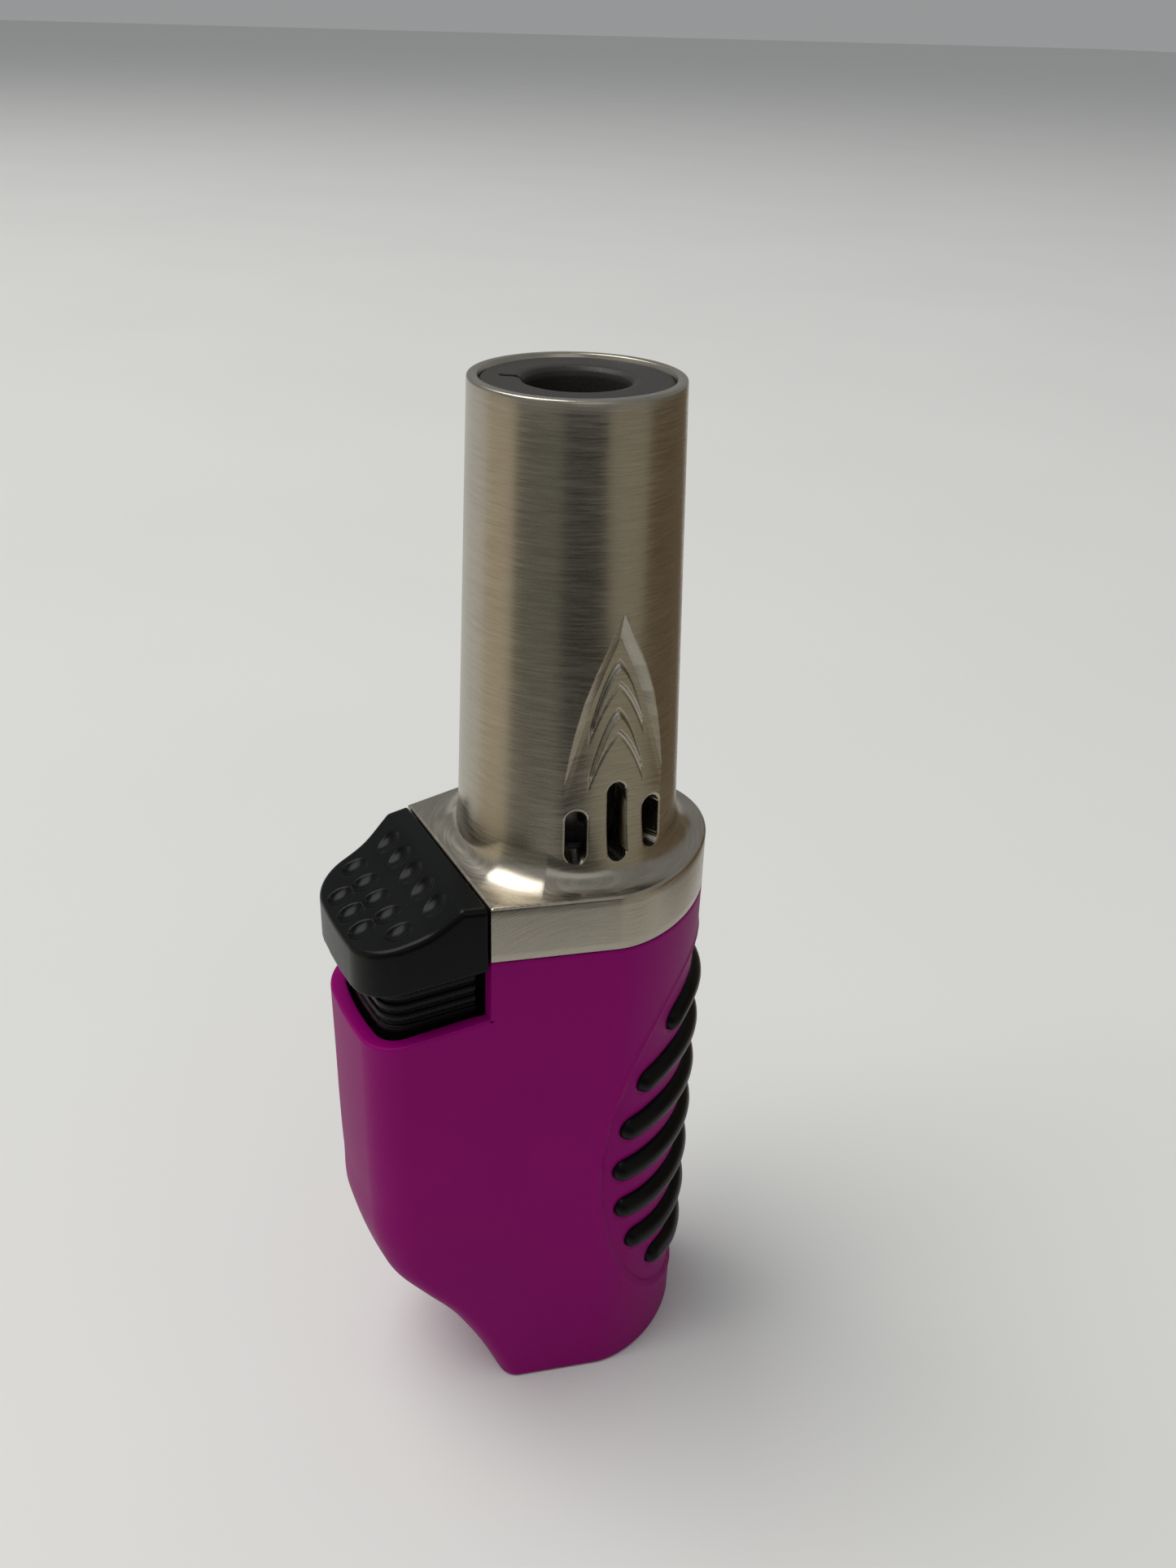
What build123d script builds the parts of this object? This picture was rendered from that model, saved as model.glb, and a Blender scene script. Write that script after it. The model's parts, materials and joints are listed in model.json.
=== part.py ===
from build123d import *

import math
import os

# Hand-held butane torch: moulded body, die-cast head, thumb button, burner, valve gear and tank.

# Driving sizes, in millimetres. Modelled about the burner axis; X is width, -Y the finger side.
HEIGHT = 140.0
BODY_TOP = 75.0
FLANGE_TOP = 82.7
TUBE_TOP_R = 12.2
TUBE_BASE_R = 13.95
TUBE_WALL = 1.2
LOWER_BORE_R = 10.3
GUARD_SEAT_Z = 124.0

# Head: the pointed arch sunk into each broad side, its air slots and its raised chevrons.
ARCH_APEX_Z = 117.0
ARCH_SIDE = [(1.7, 113.0), (3.1, 110.0), (4.4, 106.5), (5.3, 103.0), (6.0, 99.5), (7.2, 92.0), (7.6, 84.2)]
FACET_TOP_X, FACET_TOP_Z = 12.25, 112.0
FACET_LEAN = 2.4
FACET_RADIUS = 21.0
SLOT_ANGLE = 22.0
SIDE_SLOT = (2.7, 6.9, 89.0)
MID_SLOT = (2.5, 10.2, 90.4)
CHEVRON_RAISE = 0.3
CHEVRON_APEXES = (104.7, 110.6)
CHEVRON_DROP = 8.0
CHEVRON_HALF = 3.5
CHEVRON_THICK = 2.3
CHEVRON_BULGE = 0.6
CHEVRON_TIP = 0.35
HEAD_WALL = 1.6
HEAD_SCREW_X, HEAD_SCREW_Y = 11.6, 7.5
DECK_TOP = BODY_TOP + 2.5

# Plan of the body: a soft nose at -Y and straight sides that close in towards the back.
SIDE_TOP, SIDE_FOOT = 17.55, 16.0
NOSE_TOP, NOSE_FOOT = -18.66, -18.05
SIDE_Y = 1.5
SIDE_TAPER = 0.2535
SIDE_LEAD = 7.0
NOSE_FULL = 10.5
BACK_BOW = 0.8
HEAD_BACK_Y = 16.5

# Back of the body from the foot upwards: height, back face and its corner radius.
BACK_ROWS = [
    (0.0, 14.6, 2.6),
    (5.0, 16.6, 2.6),
    (10.0, 19.0, 2.8),
    (15.0, 22.0, 3.0),
    (19.0, 25.4, 3.4),
    (23.0, 28.6, 4.2),
    (28.0, 30.3, 5.4),
    (36.0, 30.7, 6.2),
    (56.0, 30.9, 6.4),
    (76.0, 31.0, 6.4),
]
LOFT_LEVELS = [0.0, 4.0, 8.0, 12.0, 15.0, 18.0, 20.5, 23.0, 25.0, 27.0, 30.0, 35.0, 45.0, 60.0, 76.0]
SLOPED_BACK_Z = 30.0
SLOPE_EXTRA = 0.42

SHELL_WALL = 1.8
RIM_Z = 66.3
RIM_SLOPE = 0.25

# Finger grip: an oval seen from the side, with level ribs that come out through slots.
GRIP_Y, GRIP_Z = -18.5, 37.1
GRIP_HALF_Y, GRIP_HALF_Z = 20.3, 30.6
RECESS_DEPTH = 0.35
RIB_COUNT = 7
RIB_FIRST_Z = 15.0
RIB_PITCH = 7.5
RIB_HEIGHT = 3.7
RIB_PROUD = 1.0
RIB_END_Y, RIB_END_Z = 18.4, 27.3
GRIP_BACKING = 1.2

# Thumb button.
CAP_FRONT_Y = 16.8
CAP_BACK_Y = 31.5
CAP_CORNER_R = 6.6
CAP_TOP = 82.7
CAP_LOW_Z = 73.9
CAP_LOW_SLOPE = 0.22
CAP_WALL = 1.6
CAP_PROFILE = [(19.6, 82.7), (21.4, 81.2), (23.4, 79.7), (26.0, 78.6), (29.2, 77.5), (33.0, 75.6)]
SKIRT_BOTTOM = 60.0
SKIRT_INSET = 2.45
SKIRT_BACK_Y = 31.1
SKIRT_WALL = 1.45
RIDGE_COUNT = 5
RIDGE_PITCH = 1.6
BUTTON_TRAVEL = 4.5

# Gas gear.
PIVOT_Y, PIVOT_Z = 3.5, 66.0
LEVER_THICK = 1.5
PIN_R = 1.0
VALVE_R = 4.0
STEM_R = 1.1
PIEZO_Y = 24.0
PLATE_Z = 55.0
PLATE_THICK = 2.5
TANK_TOP = 52.0
TANK_FLOOR = 3.0
TANK_INSET = 3.6
TANK_WALL = 1.5
TANK_BACK_Y = 14.4
LOBE_TOP = 35.0
REFILL_Y = -9.0
DIAL_Y = 5.0
DIAL_R = 4.2
BASE_THICK = 2.5
BASE_SCREWS = [(-9.0, -4.0), (9.0, -4.0)]
POST_X, POST_Y = 8.5, -8.5

# Burner's mouth and the spark's way to it.
BORE_R = 5.92
GUARD_TOP = HEIGHT - 0.35
GUARD_LIP = 1.1
KEYHOLE_ANGLE = 60.0
KEYHOLE_REACH = 8.7
LEAD_HOLE = (3.95, 6.84)

# The part's origin is under the middle of its box, so everything moves by this at export.
RIB_LEVELS = [RIB_FIRST_Z + RIB_PITCH * k for k in range(RIB_COUNT)]
FRONT_END = NOSE_FOOT + (NOSE_TOP - NOSE_FOOT) * RIB_LEVELS[-1] / BODY_TOP - RIB_PROUD
MID_Y = 0.5 * (FRONT_END + CAP_BACK_Y)


def lerp(a, b, t):
    return a + (b - a) * t


def back_slope(k):
    """Slope of the back face at one of its rows, from the rows beside it."""
    low, high = BACK_ROWS[max(k - 1, 0)], BACK_ROWS[min(k + 1, len(BACK_ROWS) - 1)]
    return (high[1] - low[1]) / (high[0] - low[0])


def back_at(z):
    """Back face position and corner radius at a height, on a smooth curve through the rows."""
    for k in range(len(BACK_ROWS) - 1):
        (z0, y0, r0), (z1, y1, r1) = BACK_ROWS[k], BACK_ROWS[k + 1]
        if z <= z1:
            t = max(0.0, (z - z0) / (z1 - z0))
            rise = (back_slope(k) * t * (1 - t) - back_slope(k + 1) * t * t) * (1 - t) * (z1 - z0)
            smooth = t * t * (3 - 2 * t)
            return lerp(y0, y1, smooth) + rise, lerp(r0, r1, t)
    return BACK_ROWS[-1][1], BACK_ROWS[-1][2]


def plan(z, inset=0.0, back=None, corner=None, size_z=None):
    """The body's outline at height z, moved in by inset, as a face."""
    level = min(max(z if size_z is None else size_z, 0.0), BODY_TOP)
    t = level / BODY_TOP
    row_y, row_r = back_at(level)
    slope = min(1.0, max(0.0, (SLOPED_BACK_Z - level) / 5.0))
    back_inset = inset * (1.0 + SLOPE_EXTRA * slope)
    back_y = (row_y if back is None else back) - back_inset
    radius = max((row_r if corner is None else corner) - inset, 0.8)
    side_x = lerp(SIDE_FOOT, SIDE_TOP, t) - inset
    nose_y = lerp(NOSE_FOOT, NOSE_TOP, t) + inset
    bow = BACK_BOW if back is None else min(BACK_BOW, 0.6)
    corner_x = side_x - SIDE_TAPER * (back_y - bow - SIDE_Y)
    with BuildSketch(Plane.XY.offset(z)) as face:
        with BuildLine():
            for s in (1, -1):
                Bezier(
                    (0, nose_y),
                    (s * (NOSE_FULL - 0.5 * inset), nose_y),
                    (s * (side_x + SIDE_TAPER * SIDE_LEAD), SIDE_Y - SIDE_LEAD),
                    (s * side_x, SIDE_Y),
                )
                Line((s * side_x, SIDE_Y), (s * corner_x, back_y - bow))
            ThreePointArc((corner_x, back_y - bow), (0, back_y), (-corner_x, back_y - bow))
        make_face()
        fillet(face.vertices().sort_by(Axis.Y)[-2:], radius)
    return face.sketch.face()


def head_plan(z, inset=0.0):
    """The head flange's outline: the body's nose and sides with a flat back."""
    side_x = SIDE_TOP - inset
    nose_y = NOSE_TOP + inset
    flat_y = HEAD_BACK_Y - inset
    corner_x = side_x - SIDE_TAPER * (flat_y - SIDE_Y)
    with BuildSketch(Plane.XY.offset(z)) as face:
        with BuildLine():
            for s in (1, -1):
                Bezier(
                    (0, nose_y),
                    (s * (NOSE_FULL - 0.5 * inset), nose_y),
                    (s * (side_x + SIDE_TAPER * SIDE_LEAD), SIDE_Y - SIDE_LEAD),
                    (s * side_x, SIDE_Y),
                )
                Line((s * side_x, SIDE_Y), (s * corner_x, flat_y))
            Line((corner_x, flat_y), (-corner_x, flat_y))
        make_face()
    return face.sketch.face()


def body_solid(inset=0.0, low=0.0, high=76.0):
    """The closed body shape, moved in by inset, from low to high."""
    heights = [z for z in LOFT_LEVELS if low + 0.2 < z < high - 0.2]
    levels = [low] + heights + [high]
    return Solid.make_loft([plan(z, inset).outer_wire() for z in levels], ruled=True)


def side_prism(points, half=40.0):
    """A polygon of (y, z) points, extruded across the whole width."""
    with BuildPart() as prism:
        with BuildSketch(Plane.YZ):
            with BuildLine():
                Polyline(*points, close=True)
            make_face()
        extrude(amount=half, both=True)
    return prism.part.solid()


def side_oval(half_y, half_z):
    """The grip's oval, seen from the side, extruded across the whole width."""
    with BuildPart() as prism:
        with BuildSketch(Plane.YZ):
            with Locations((GRIP_Y, GRIP_Z)):
                Ellipse(half_y, half_z)
        extrude(amount=40.0, both=True)
    return prism.part.solid()


def cylinder(x, y, z0, z1, r):
    """An upright cylinder between two heights."""
    return Pos(x, y, 0.5 * (z0 + z1)) * Cylinder(r, z1 - z0)


def ring(x, y, z0, z1, outer, inner):
    """An upright tube between two heights."""
    return cylinder(x, y, z0, z1, outer) - cylinder(x, y, z0 - 1, z1 + 1, inner)


def block(x0, x1, y0, y1, z0, z1):
    """A box between two corners."""
    centre = Pos(0.5 * (x0 + x1), 0.5 * (y0 + y1), 0.5 * (z0 + z1))
    return centre * Box(x1 - x0, y1 - y0, z1 - z0)


def cross_slot(x, y, z0, z1, reach=1.15, half=0.25):
    """The cross in a screw's head."""
    along_x = block(x - reach, x + reach, y - half, y + half, z0, z1)
    return along_x + block(x - half, x + half, y - reach, y + reach, z0, z1)


def turned(points, x=0.0, y=0.0):
    """A solid turned about an upright axis from (radius, height) points."""
    with BuildPart() as part:
        with BuildSketch(Plane.XZ):
            with BuildLine():
                Polyline(*points, close=True)
            make_face()
        revolve(axis=Axis.Z)
    return Pos(x, y, 0) * part.part


def coil(x, y, z0, z1, radius, wire, turns):
    """A helical spring whose ends are level with z0 and z1."""
    height = z1 - z0 - 2 * wire
    path = Helix(pitch=height / turns, height=height, radius=radius)
    start = Plane(origin=path @ 0, z_dir=path % 0)
    spring = sweep(start * Circle(wire), path=path)
    return Pos(x, y, z0 + wire) * spring


def hose(points, radii, radius):
    """A round lead along straight runs joined by tangent arcs."""
    path = FilletPolyline(*points, radius=radii)
    start = Plane(origin=path @ 0, z_dir=path % 0)
    return sweep(start * Circle(radius), path=path)


def tube_radius(z):
    """Outer radius of the tapered tube at a height."""
    return lerp(TUBE_BASE_R, TUBE_TOP_R, (z - FLANGE_TOP) / (HEIGHT - FLANGE_TOP))


# --- Head -----------------------------------------------------------------------------------------

def behind_facet(proud=0.0):
    """Everything behind the gently curved facet of the -X side, raised by proud."""
    axis_x = FACET_RADIUS - FACET_TOP_X - proud
    return Pos(axis_x, 0, FACET_TOP_Z) * Rot(0, FACET_LEAN, 0) * Cylinder(FACET_RADIUS, 120)


def arch_cut():
    """The pointed-arch facet that is sunk into each broad side of the tube."""
    outline = [(0.0, ARCH_APEX_Z)] + ARCH_SIDE
    mirrored = [(-y, z) for y, z in reversed(outline[1:])]
    with BuildPart() as cut:
        with BuildSketch(Plane.YZ.offset(-16.0)):
            with BuildLine():
                Spline(*outline)
                Spline(*mirrored, (0.0, ARCH_APEX_Z))
                Line(mirrored[0], outline[-1])
            make_face()
        extrude(amount=5.0)
    return (cut.part - behind_facet()).solid()


def slot_cutter(width, height, z, angle):
    """One upright air slot with round ends, through the wall on the -X side."""
    with BuildPart() as cut:
        with BuildSketch(Plane.YZ.offset(-18.0)):
            SlotOverall(height, width, rotation=90)
        extrude(amount=9.0)
    return Rot(0, 0, -angle) * Pos(0, 0, z) * cut.part


def chevron(apex_z):
    """A raised pointed chevron lying on the facet."""
    tip_z = apex_z - CHEVRON_DROP
    bow_y = 0.5 * CHEVRON_HALF + CHEVRON_BULGE
    bow_z = 0.5 * (apex_z + tip_z) + CHEVRON_BULGE
    inner_bow_y = 0.5 * CHEVRON_HALF + 0.5 * CHEVRON_BULGE - 0.1
    inner_z = apex_z - CHEVRON_THICK
    inner_bow_z = 0.5 * (inner_z + tip_z)
    with BuildPart() as mark:
        with BuildSketch(Plane.YZ.offset(-14.0)):
            with BuildLine():
                for s in (1, -1):
                    tip = (s * CHEVRON_HALF, tip_z)
                    tip_in = (s * (CHEVRON_HALF - CHEVRON_TIP), tip_z)
                    ThreePointArc((0, apex_z), (s * bow_y, bow_z), tip)
                    Line(tip, tip_in)
                    ThreePointArc(tip_in, (s * inner_bow_y, inner_bow_z), (0, inner_z))
            make_face()
        extrude(amount=3.5)
    return (mark.part & behind_facet(CHEVRON_RAISE)).solid()


def head_shell():
    """Tapered tube on a D-shaped flange, one die casting."""
    tube = Pos(0, 0, 0.5 * (FLANGE_TOP + HEIGHT)) * Cone(TUBE_BASE_R, TUBE_TOP_R, HEIGHT - FLANGE_TOP)
    flange = extrude(head_plan(BODY_TOP), amount=FLANGE_TOP - BODY_TOP)
    flange = fillet(flange.edges().group_by(Axis.Z)[-1], 0.5)
    shape = flange + tube
    circles = [e for e in shape.edges() if e.geom_type == GeomType.CIRCLE]
    shape = fillet([e for e in circles if abs(e.center().Z - FLANGE_TOP) < 0.01], 1.9)
    for side in (0, 180):
        shape = shape - Rot(0, 0, side) * arch_cut()
    for side in (0, 180):
        for apex in CHEVRON_APEXES:
            shape = shape + Rot(0, 0, side) * chevron(apex)
    cavity = extrude(head_plan(BODY_TOP - 1, HEAD_WALL), amount=FLANGE_TOP - BODY_TOP + 1 - HEAD_WALL)
    shape = shape - cavity
    shape = shape - cylinder(0, 0, BODY_TOP, GUARD_SEAT_Z, LOWER_BORE_R)
    shape = shape - cylinder(0, 0, GUARD_SEAT_Z, HEIGHT + 1, TUBE_TOP_R - TUBE_WALL)
    for side in (0, 180):
        turn = Rot(0, 0, side)
        shape = shape - turn * slot_cutter(*MID_SLOT, 0.0)
        for angle in (-SLOT_ANGLE, SLOT_ANGLE):
            shape = shape - turn * slot_cutter(*SIDE_SLOT, angle)
    for x in (-HEAD_SCREW_X, HEAD_SCREW_X):
        post = cylinder(x, HEAD_SCREW_Y, DECK_TOP, FLANGE_TOP - 0.9, 2.3)
        shape = shape + post - cylinder(x, HEAD_SCREW_Y, DECK_TOP - 1, FLANGE_TOP - 1.2, 1.2)
    return shape


def nozzle_guard():
    """Round burner guard in the tube's mouth, with the flame bore and the electrode's keyhole."""
    outer = TUBE_TOP_R - TUBE_WALL - 0.15
    bottom = GUARD_SEAT_Z + 0.3
    disc = 1.6
    lip = GUARD_LIP
    profile = [
        (BORE_R, bottom),
        (BORE_R, GUARD_TOP - lip),
        (BORE_R + 0.12 * lip, GUARD_TOP - 0.5 * lip),
        (BORE_R + 0.45 * lip, GUARD_TOP - 0.12 * lip),
        (BORE_R + lip, GUARD_TOP),
        (outer - 0.3, GUARD_TOP),
        (outer, GUARD_TOP - 0.3),
        (outer, bottom),
        (outer - 1.0, bottom),
        (outer - 1.0, GUARD_TOP - disc),
        (BORE_R + 0.8, GUARD_TOP - disc),
        (BORE_R + 0.8, bottom),
    ]
    shape = turned(profile)
    neck = block(BORE_R - 1.0, KEYHOLE_REACH - 1.0, -0.3, 0.3, bottom - 1, HEIGHT + 1)
    eye = block(KEYHOLE_REACH - 2.2, KEYHOLE_REACH - 0.6, -0.55, 0.55, bottom - 1, HEIGHT + 1)
    eye = eye + cylinder(KEYHOLE_REACH - 0.6, 0, bottom - 1, HEIGHT + 1, 0.55)
    return shape - Rot(0, 0, KEYHOLE_ANGLE) * (neck + eye)


def burner_tube():
    """Mixing tube over the jet, with four air holes near its foot."""
    shape = turned(
        [
            (3.05, DECK_TOP),
            (4.2, DECK_TOP),
            (4.2, 80.5),
            (6.3, 84.0),
            (6.3, 120.0),
            (5.7, 120.0),
            (5.7, 84.2),
            (3.05, 80.0),
        ]
    )
    for angle in (0, 90, 180, 270):
        hole = Rot(0, 0, angle) * Pos(6, 0, 88.0) * Rot(0, 90, 0) * Cylinder(1.7, 6)
        shape = shape - hole
    return shape


def flame_holder():
    """Perforated brass plug that the flame sits on."""
    shape = cylinder(0, 0, 116.0, 119.4, 5.65)
    shape = shape - cylinder(0, 0, 110, 125, 0.8)
    for k in range(8):
        angle = k * math.pi / 4
        shape = shape - cylinder(3.6 * math.cos(angle), 3.6 * math.sin(angle), 110, 125, 0.8)
    return shape


def flame_gauze():
    """Woven gauze disc under the flame holder, as a thin plate with square openings."""
    shape = cylinder(0, 0, 115.4, 115.9, 5.65)
    pitch = 1.5
    for i in range(-3, 4):
        for j in range(-3, 4):
            if math.hypot(i, j) * pitch < 4.7:
                x, y = i * pitch, j * pitch
                shape = shape - block(x - 0.5, x + 0.5, y - 0.5, y + 0.5, 115, 117)
    return shape


def gas_jet():
    """Brass jet in the burner deck, with a fine orifice."""
    return turned(
        [
            (0.8, 74.0),
            (1.8, 74.0),
            (1.8, 75.0),
            (3.0, 75.0),
            (3.0, 80.0),
            (1.6, 81.0),
            (1.2, 84.5),
            (0.3, 84.5),
            (0.8, 81.0),
        ]
    )


def burner_deck():
    """Steel plate that closes the flange from below and carries the jet and the electrode."""
    shape = extrude(head_plan(BODY_TOP, HEAD_WALL + 0.15), amount=DECK_TOP - BODY_TOP)
    shape = shape - cylinder(0, 0, 70, 90, 3.0)
    shape = shape - cylinder(*LEAD_HOLE, 70, 90, 1.5)
    for x in (-HEAD_SCREW_X, HEAD_SCREW_X):
        shape = shape - cylinder(x, HEAD_SCREW_Y, 70, 90, 1.2)
    return shape


def head_screws():
    """Two screws through the deck into the flange."""
    screws = []
    for x in (-HEAD_SCREW_X, HEAD_SCREW_X):
        screw = cylinder(x, HEAD_SCREW_Y, BODY_TOP - 1.5, BODY_TOP, 2.2)
        screw = screw + cylinder(x, HEAD_SCREW_Y, BODY_TOP - 0.5, FLANGE_TOP - 1.6, 1.2)
        screws.append(screw - cross_slot(x, HEAD_SCREW_Y, 73.0, 74.2))
    return screws[0] + screws[1]


def electrode_insulator():
    """Ceramic sleeve around the electrode."""
    x, y = LEAD_HOLE
    return ring(x, y, DECK_TOP - 2.5, 92.0, 1.45, 0.5)


def electrode():
    """Spark wire, upright beside the burner and hooked in over its edge."""
    x, y = LEAD_HOLE
    inward = 1.0 - 4.6 / math.hypot(x, y)
    tip = (x * (1 - inward), y * (1 - inward))
    points = [(x, y, 78.0), (x, y, 122.2), (tip[0], tip[1], 122.2)]
    return hose(points, 1.0, 0.45)


# --- Button ---------------------------------------------------------------------------------------


def cap_plan(z, inset, back=CAP_BACK_Y):
    """The button's outline: the body's own sides with the cap's own back."""
    return plan(z, inset, back=back, corner=CAP_CORNER_R, size_z=BODY_TOP)


def cap_profile(drop=0.0, front=0.0):
    """The button seen from the side, as a cutter across the width."""
    top = [(y, z - drop) for y, z in CAP_PROFILE]
    low_front = CAP_LOW_Z
    low_back = CAP_LOW_Z - CAP_LOW_SLOPE * (34.0 - CAP_FRONT_Y)
    lift = -5.0 if drop else 0.0
    with BuildPart() as prism:
        with BuildSketch(Plane.YZ):
            with BuildLine():
                front_y = CAP_FRONT_Y + front
                Line((front_y, low_front + lift), (front_y, CAP_TOP - drop))
                Line((front_y, CAP_TOP - drop), top[0])
                Spline(*top)
                Polyline(top[-1], (34.0, top[-1][1]), (34.0, low_back + lift), (front_y, low_front + lift))
            make_face()
        extrude(amount=40.0, both=True)
    return prism.part.solid()


def dimples():
    """Oval pits in rows across the sloping top."""
    rows = [(21.9, 81.0, 5), (25.8, 78.7, 5), (29.1, 77.5, 3)]
    cutters = []
    for y, z, count in rows:
        for k in range(count):
            x = 4.0 * (k - 0.5 * (count - 1))
            pit = Pos(x, y, z + 0.5) * Rot(-30, 0, 0) * scale(Sphere(1.0), by=(1.7, 2.1, 1.0))
            cutters.append(pit)
    return cutters


def thumb_button():
    """Hollow thumb cap, dished, with rows of pits."""
    prism = extrude(cap_plan(60.0, 0.0), amount=30.0)
    shape = prism & cap_profile()
    top_edges = [e for e in shape.edges() if e.center().Z > 75.0 and e.center().Y > CAP_FRONT_Y + 0.6]
    shape = fillet(top_edges, 0.8)
    hollow = extrude(cap_plan(55.0, CAP_WALL), amount=35.0) & cap_profile(drop=CAP_WALL, front=CAP_WALL)
    shape = shape - hollow
    for pit in dimples():
        shape = shape - pit
    boss = block(-2.4, 2.4, PIEZO_Y - 3.0, PIEZO_Y + 3.0, 71.0, 77.6)
    return shape + boss


def button_skirt():
    """Ribbed sleeve under the cap that fills the body's pocket."""
    lean = -math.degrees(math.atan(CAP_LOW_SLOPE))
    core = extrude(cap_plan(SKIRT_BOTTOM, SKIRT_INSET + 0.5, SKIRT_BACK_Y), amount=20.0)
    full = extrude(cap_plan(SKIRT_BOTTOM, SKIRT_INSET, SKIRT_BACK_Y), amount=20.0)
    edge_z = CAP_LOW_Z - CAP_LOW_SLOPE * (PIEZO_Y - CAP_FRONT_Y)
    shape = core
    for k in range(RIDGE_COUNT):
        z = edge_z - 0.6 - RIDGE_PITCH * k
        slab = Pos(0, PIEZO_Y, z) * Rot(lean, 0, 0) * Box(60, 60, 0.9)
        shape = shape + (full & slab)
    front = block(-40, 40, CAP_FRONT_Y + 0.5, 60, 0, 100)
    under_cap = Pos(0, PIEZO_Y, edge_z) * Rot(lean, 0, 0) * Pos(0, 0, -25) * Box(80, 80, 50)
    inside = extrude(cap_plan(SKIRT_BOTTOM - 1, SKIRT_INSET + SKIRT_WALL, SKIRT_BACK_Y), amount=22.0)
    inside = inside & block(-40, 40, CAP_FRONT_Y + SKIRT_WALL, 60, 0, 100)
    shape = (shape & front & under_cap) - inside
    notch_top = PIVOT_Z + 0.5 * LEVER_THICK + 0.35
    notch = block(-3.0, 3.0, CAP_FRONT_Y, CAP_FRONT_Y + 2.0, SKIRT_BOTTOM - 1, notch_top)
    return shape - notch


def piezo_plunger():
    """Square plunger that the cap's boss presses."""
    return block(-2.9, 2.9, PIEZO_Y - 3.6, PIEZO_Y + 3.1, 52.0, 71.0)


def piezo_barrel():
    """Square housing of the spark unit, open at the top."""
    shape = block(-4.1, 4.1, PIEZO_Y - 4.8, PIEZO_Y + 4.6, 36.5, 55.0)
    shape = shape - block(-3.0, 3.0, PIEZO_Y - 3.7, PIEZO_Y + 3.7, 44.0, 60.0)
    return shape - cylinder(0, PIEZO_Y, 37.5, 43.0, 2.5)


def piezo_crystal():
    """Ceramic crystal sealed in the foot of the spark unit."""
    return cylinder(0, PIEZO_Y, 37.5, 43.0, 2.4)


def piezo_spring():
    """Return spring between the barrel's seat and the plunger."""
    return coil(0, PIEZO_Y, 44.0, 52.0, 2.1, 0.3, 4.5)


def ignition_lead():
    """Insulated high-tension lead from the spark unit to the electrode."""
    x, y = LEAD_HOLE
    points = [
        (4.1, 20.6, 41.0),
        (7.0, 20.6, 41.0),
        (7.0, 16.0, 47.0),
        (7.0, 14.6, 58.0),
        (6.4, 12.0, 69.0),
        (x, y, 73.0),
        (x, y, 75.0),
    ]
    return hose(points, [1.5, 3.0, 4.0, 2.5, 1.4], 0.6)


# --- Gas gear -------------------------------------------------------------------------------------


def gas_lever():
    """Rocker: its tail under the skirt's notch, its fork round the valve stem."""
    low, high = PIVOT_Z - 0.5 * LEVER_THICK, PIVOT_Z + 0.5 * LEVER_THICK
    shape = block(-2.5, 2.5, -1.9, 19.6, low, high)
    shape = shape - block(-1.35, 1.35, -3.0, 1.35, low - 1, high + 1)
    hub = Pos(0, PIVOT_Y, PIVOT_Z) * Rot(0, 90, 0) * Cylinder(1.9, 5.0)
    bore = Pos(0, PIVOT_Y, PIVOT_Z) * Rot(0, 90, 0) * Cylinder(PIN_R + 0.05, 9.0)
    shape = shape + (hub & block(-3, 3, PIVOT_Y - 1.5, PIVOT_Y + 2.5, low - 3, high + 3))
    return shape - bore


def lever_pin():
    """Steel pivot pin across the two cheeks."""
    return Pos(0, PIVOT_Y, PIVOT_Z) * Rot(0, 90, 0) * Cylinder(PIN_R, 9.6)


def valve_body():
    """Brass outlet valve screwed into the tank lid."""
    shape = turned(
        [
            (0.7, 46.0),
            (3.0, 46.0),
            (3.0, 51.0),
            (VALVE_R, 51.0),
            (VALVE_R, 61.0),
            (3.2, 62.0),
            (STEM_R + 0.05, 62.0),
            (STEM_R + 0.05, 59.5),
            (2.5, 59.5),
            (2.5, 49.7),
            (0.7, 49.7),
        ]
    )
    return shape


def valve_gasket():
    """Rubber seat under the stem's foot."""
    return ring(0, 0, 49.7, 50.5, 2.4, 0.7)


def valve_stem():
    """Hollow stem with a sealing foot and the collar that the fork lifts."""
    collar = PIVOT_Z + 0.5 * LEVER_THICK + 0.1
    return turned(
        [
            (0.0, 50.5),
            (2.3, 50.5),
            (2.3, 51.5),
            (STEM_R, 51.5),
            (STEM_R, collar),
            (1.85, collar),
            (1.85, collar + 0.9),
            (STEM_R, collar + 0.9),
            (STEM_R, 70.0),
            (0.45, 70.0),
            (0.45, 53.0),
            (0.0, 53.0),
        ]
    )


def valve_spring():
    """Spring that holds the stem shut."""
    return coil(0, 0, 51.5, 59.5, 1.75, 0.25, 5)


def gas_hose():
    """Short flexible hose from the stem to the jet."""
    return ring(0, 0, 70.0, 74.0, 1.8, 0.8)


# --- Tank -----------------------------------------------------------------------------------------


def tank_block(inset, floor, top, back, lobe_top):
    """Body-shaped block: full height in front, with a low lobe at the back."""
    outline = [(-40, floor), (40, floor), (40, lobe_top), (back, lobe_top), (back, top), (-40, top)]
    return body_solid(inset, low=0.5, high=74.0) & side_prism(outline)


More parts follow.
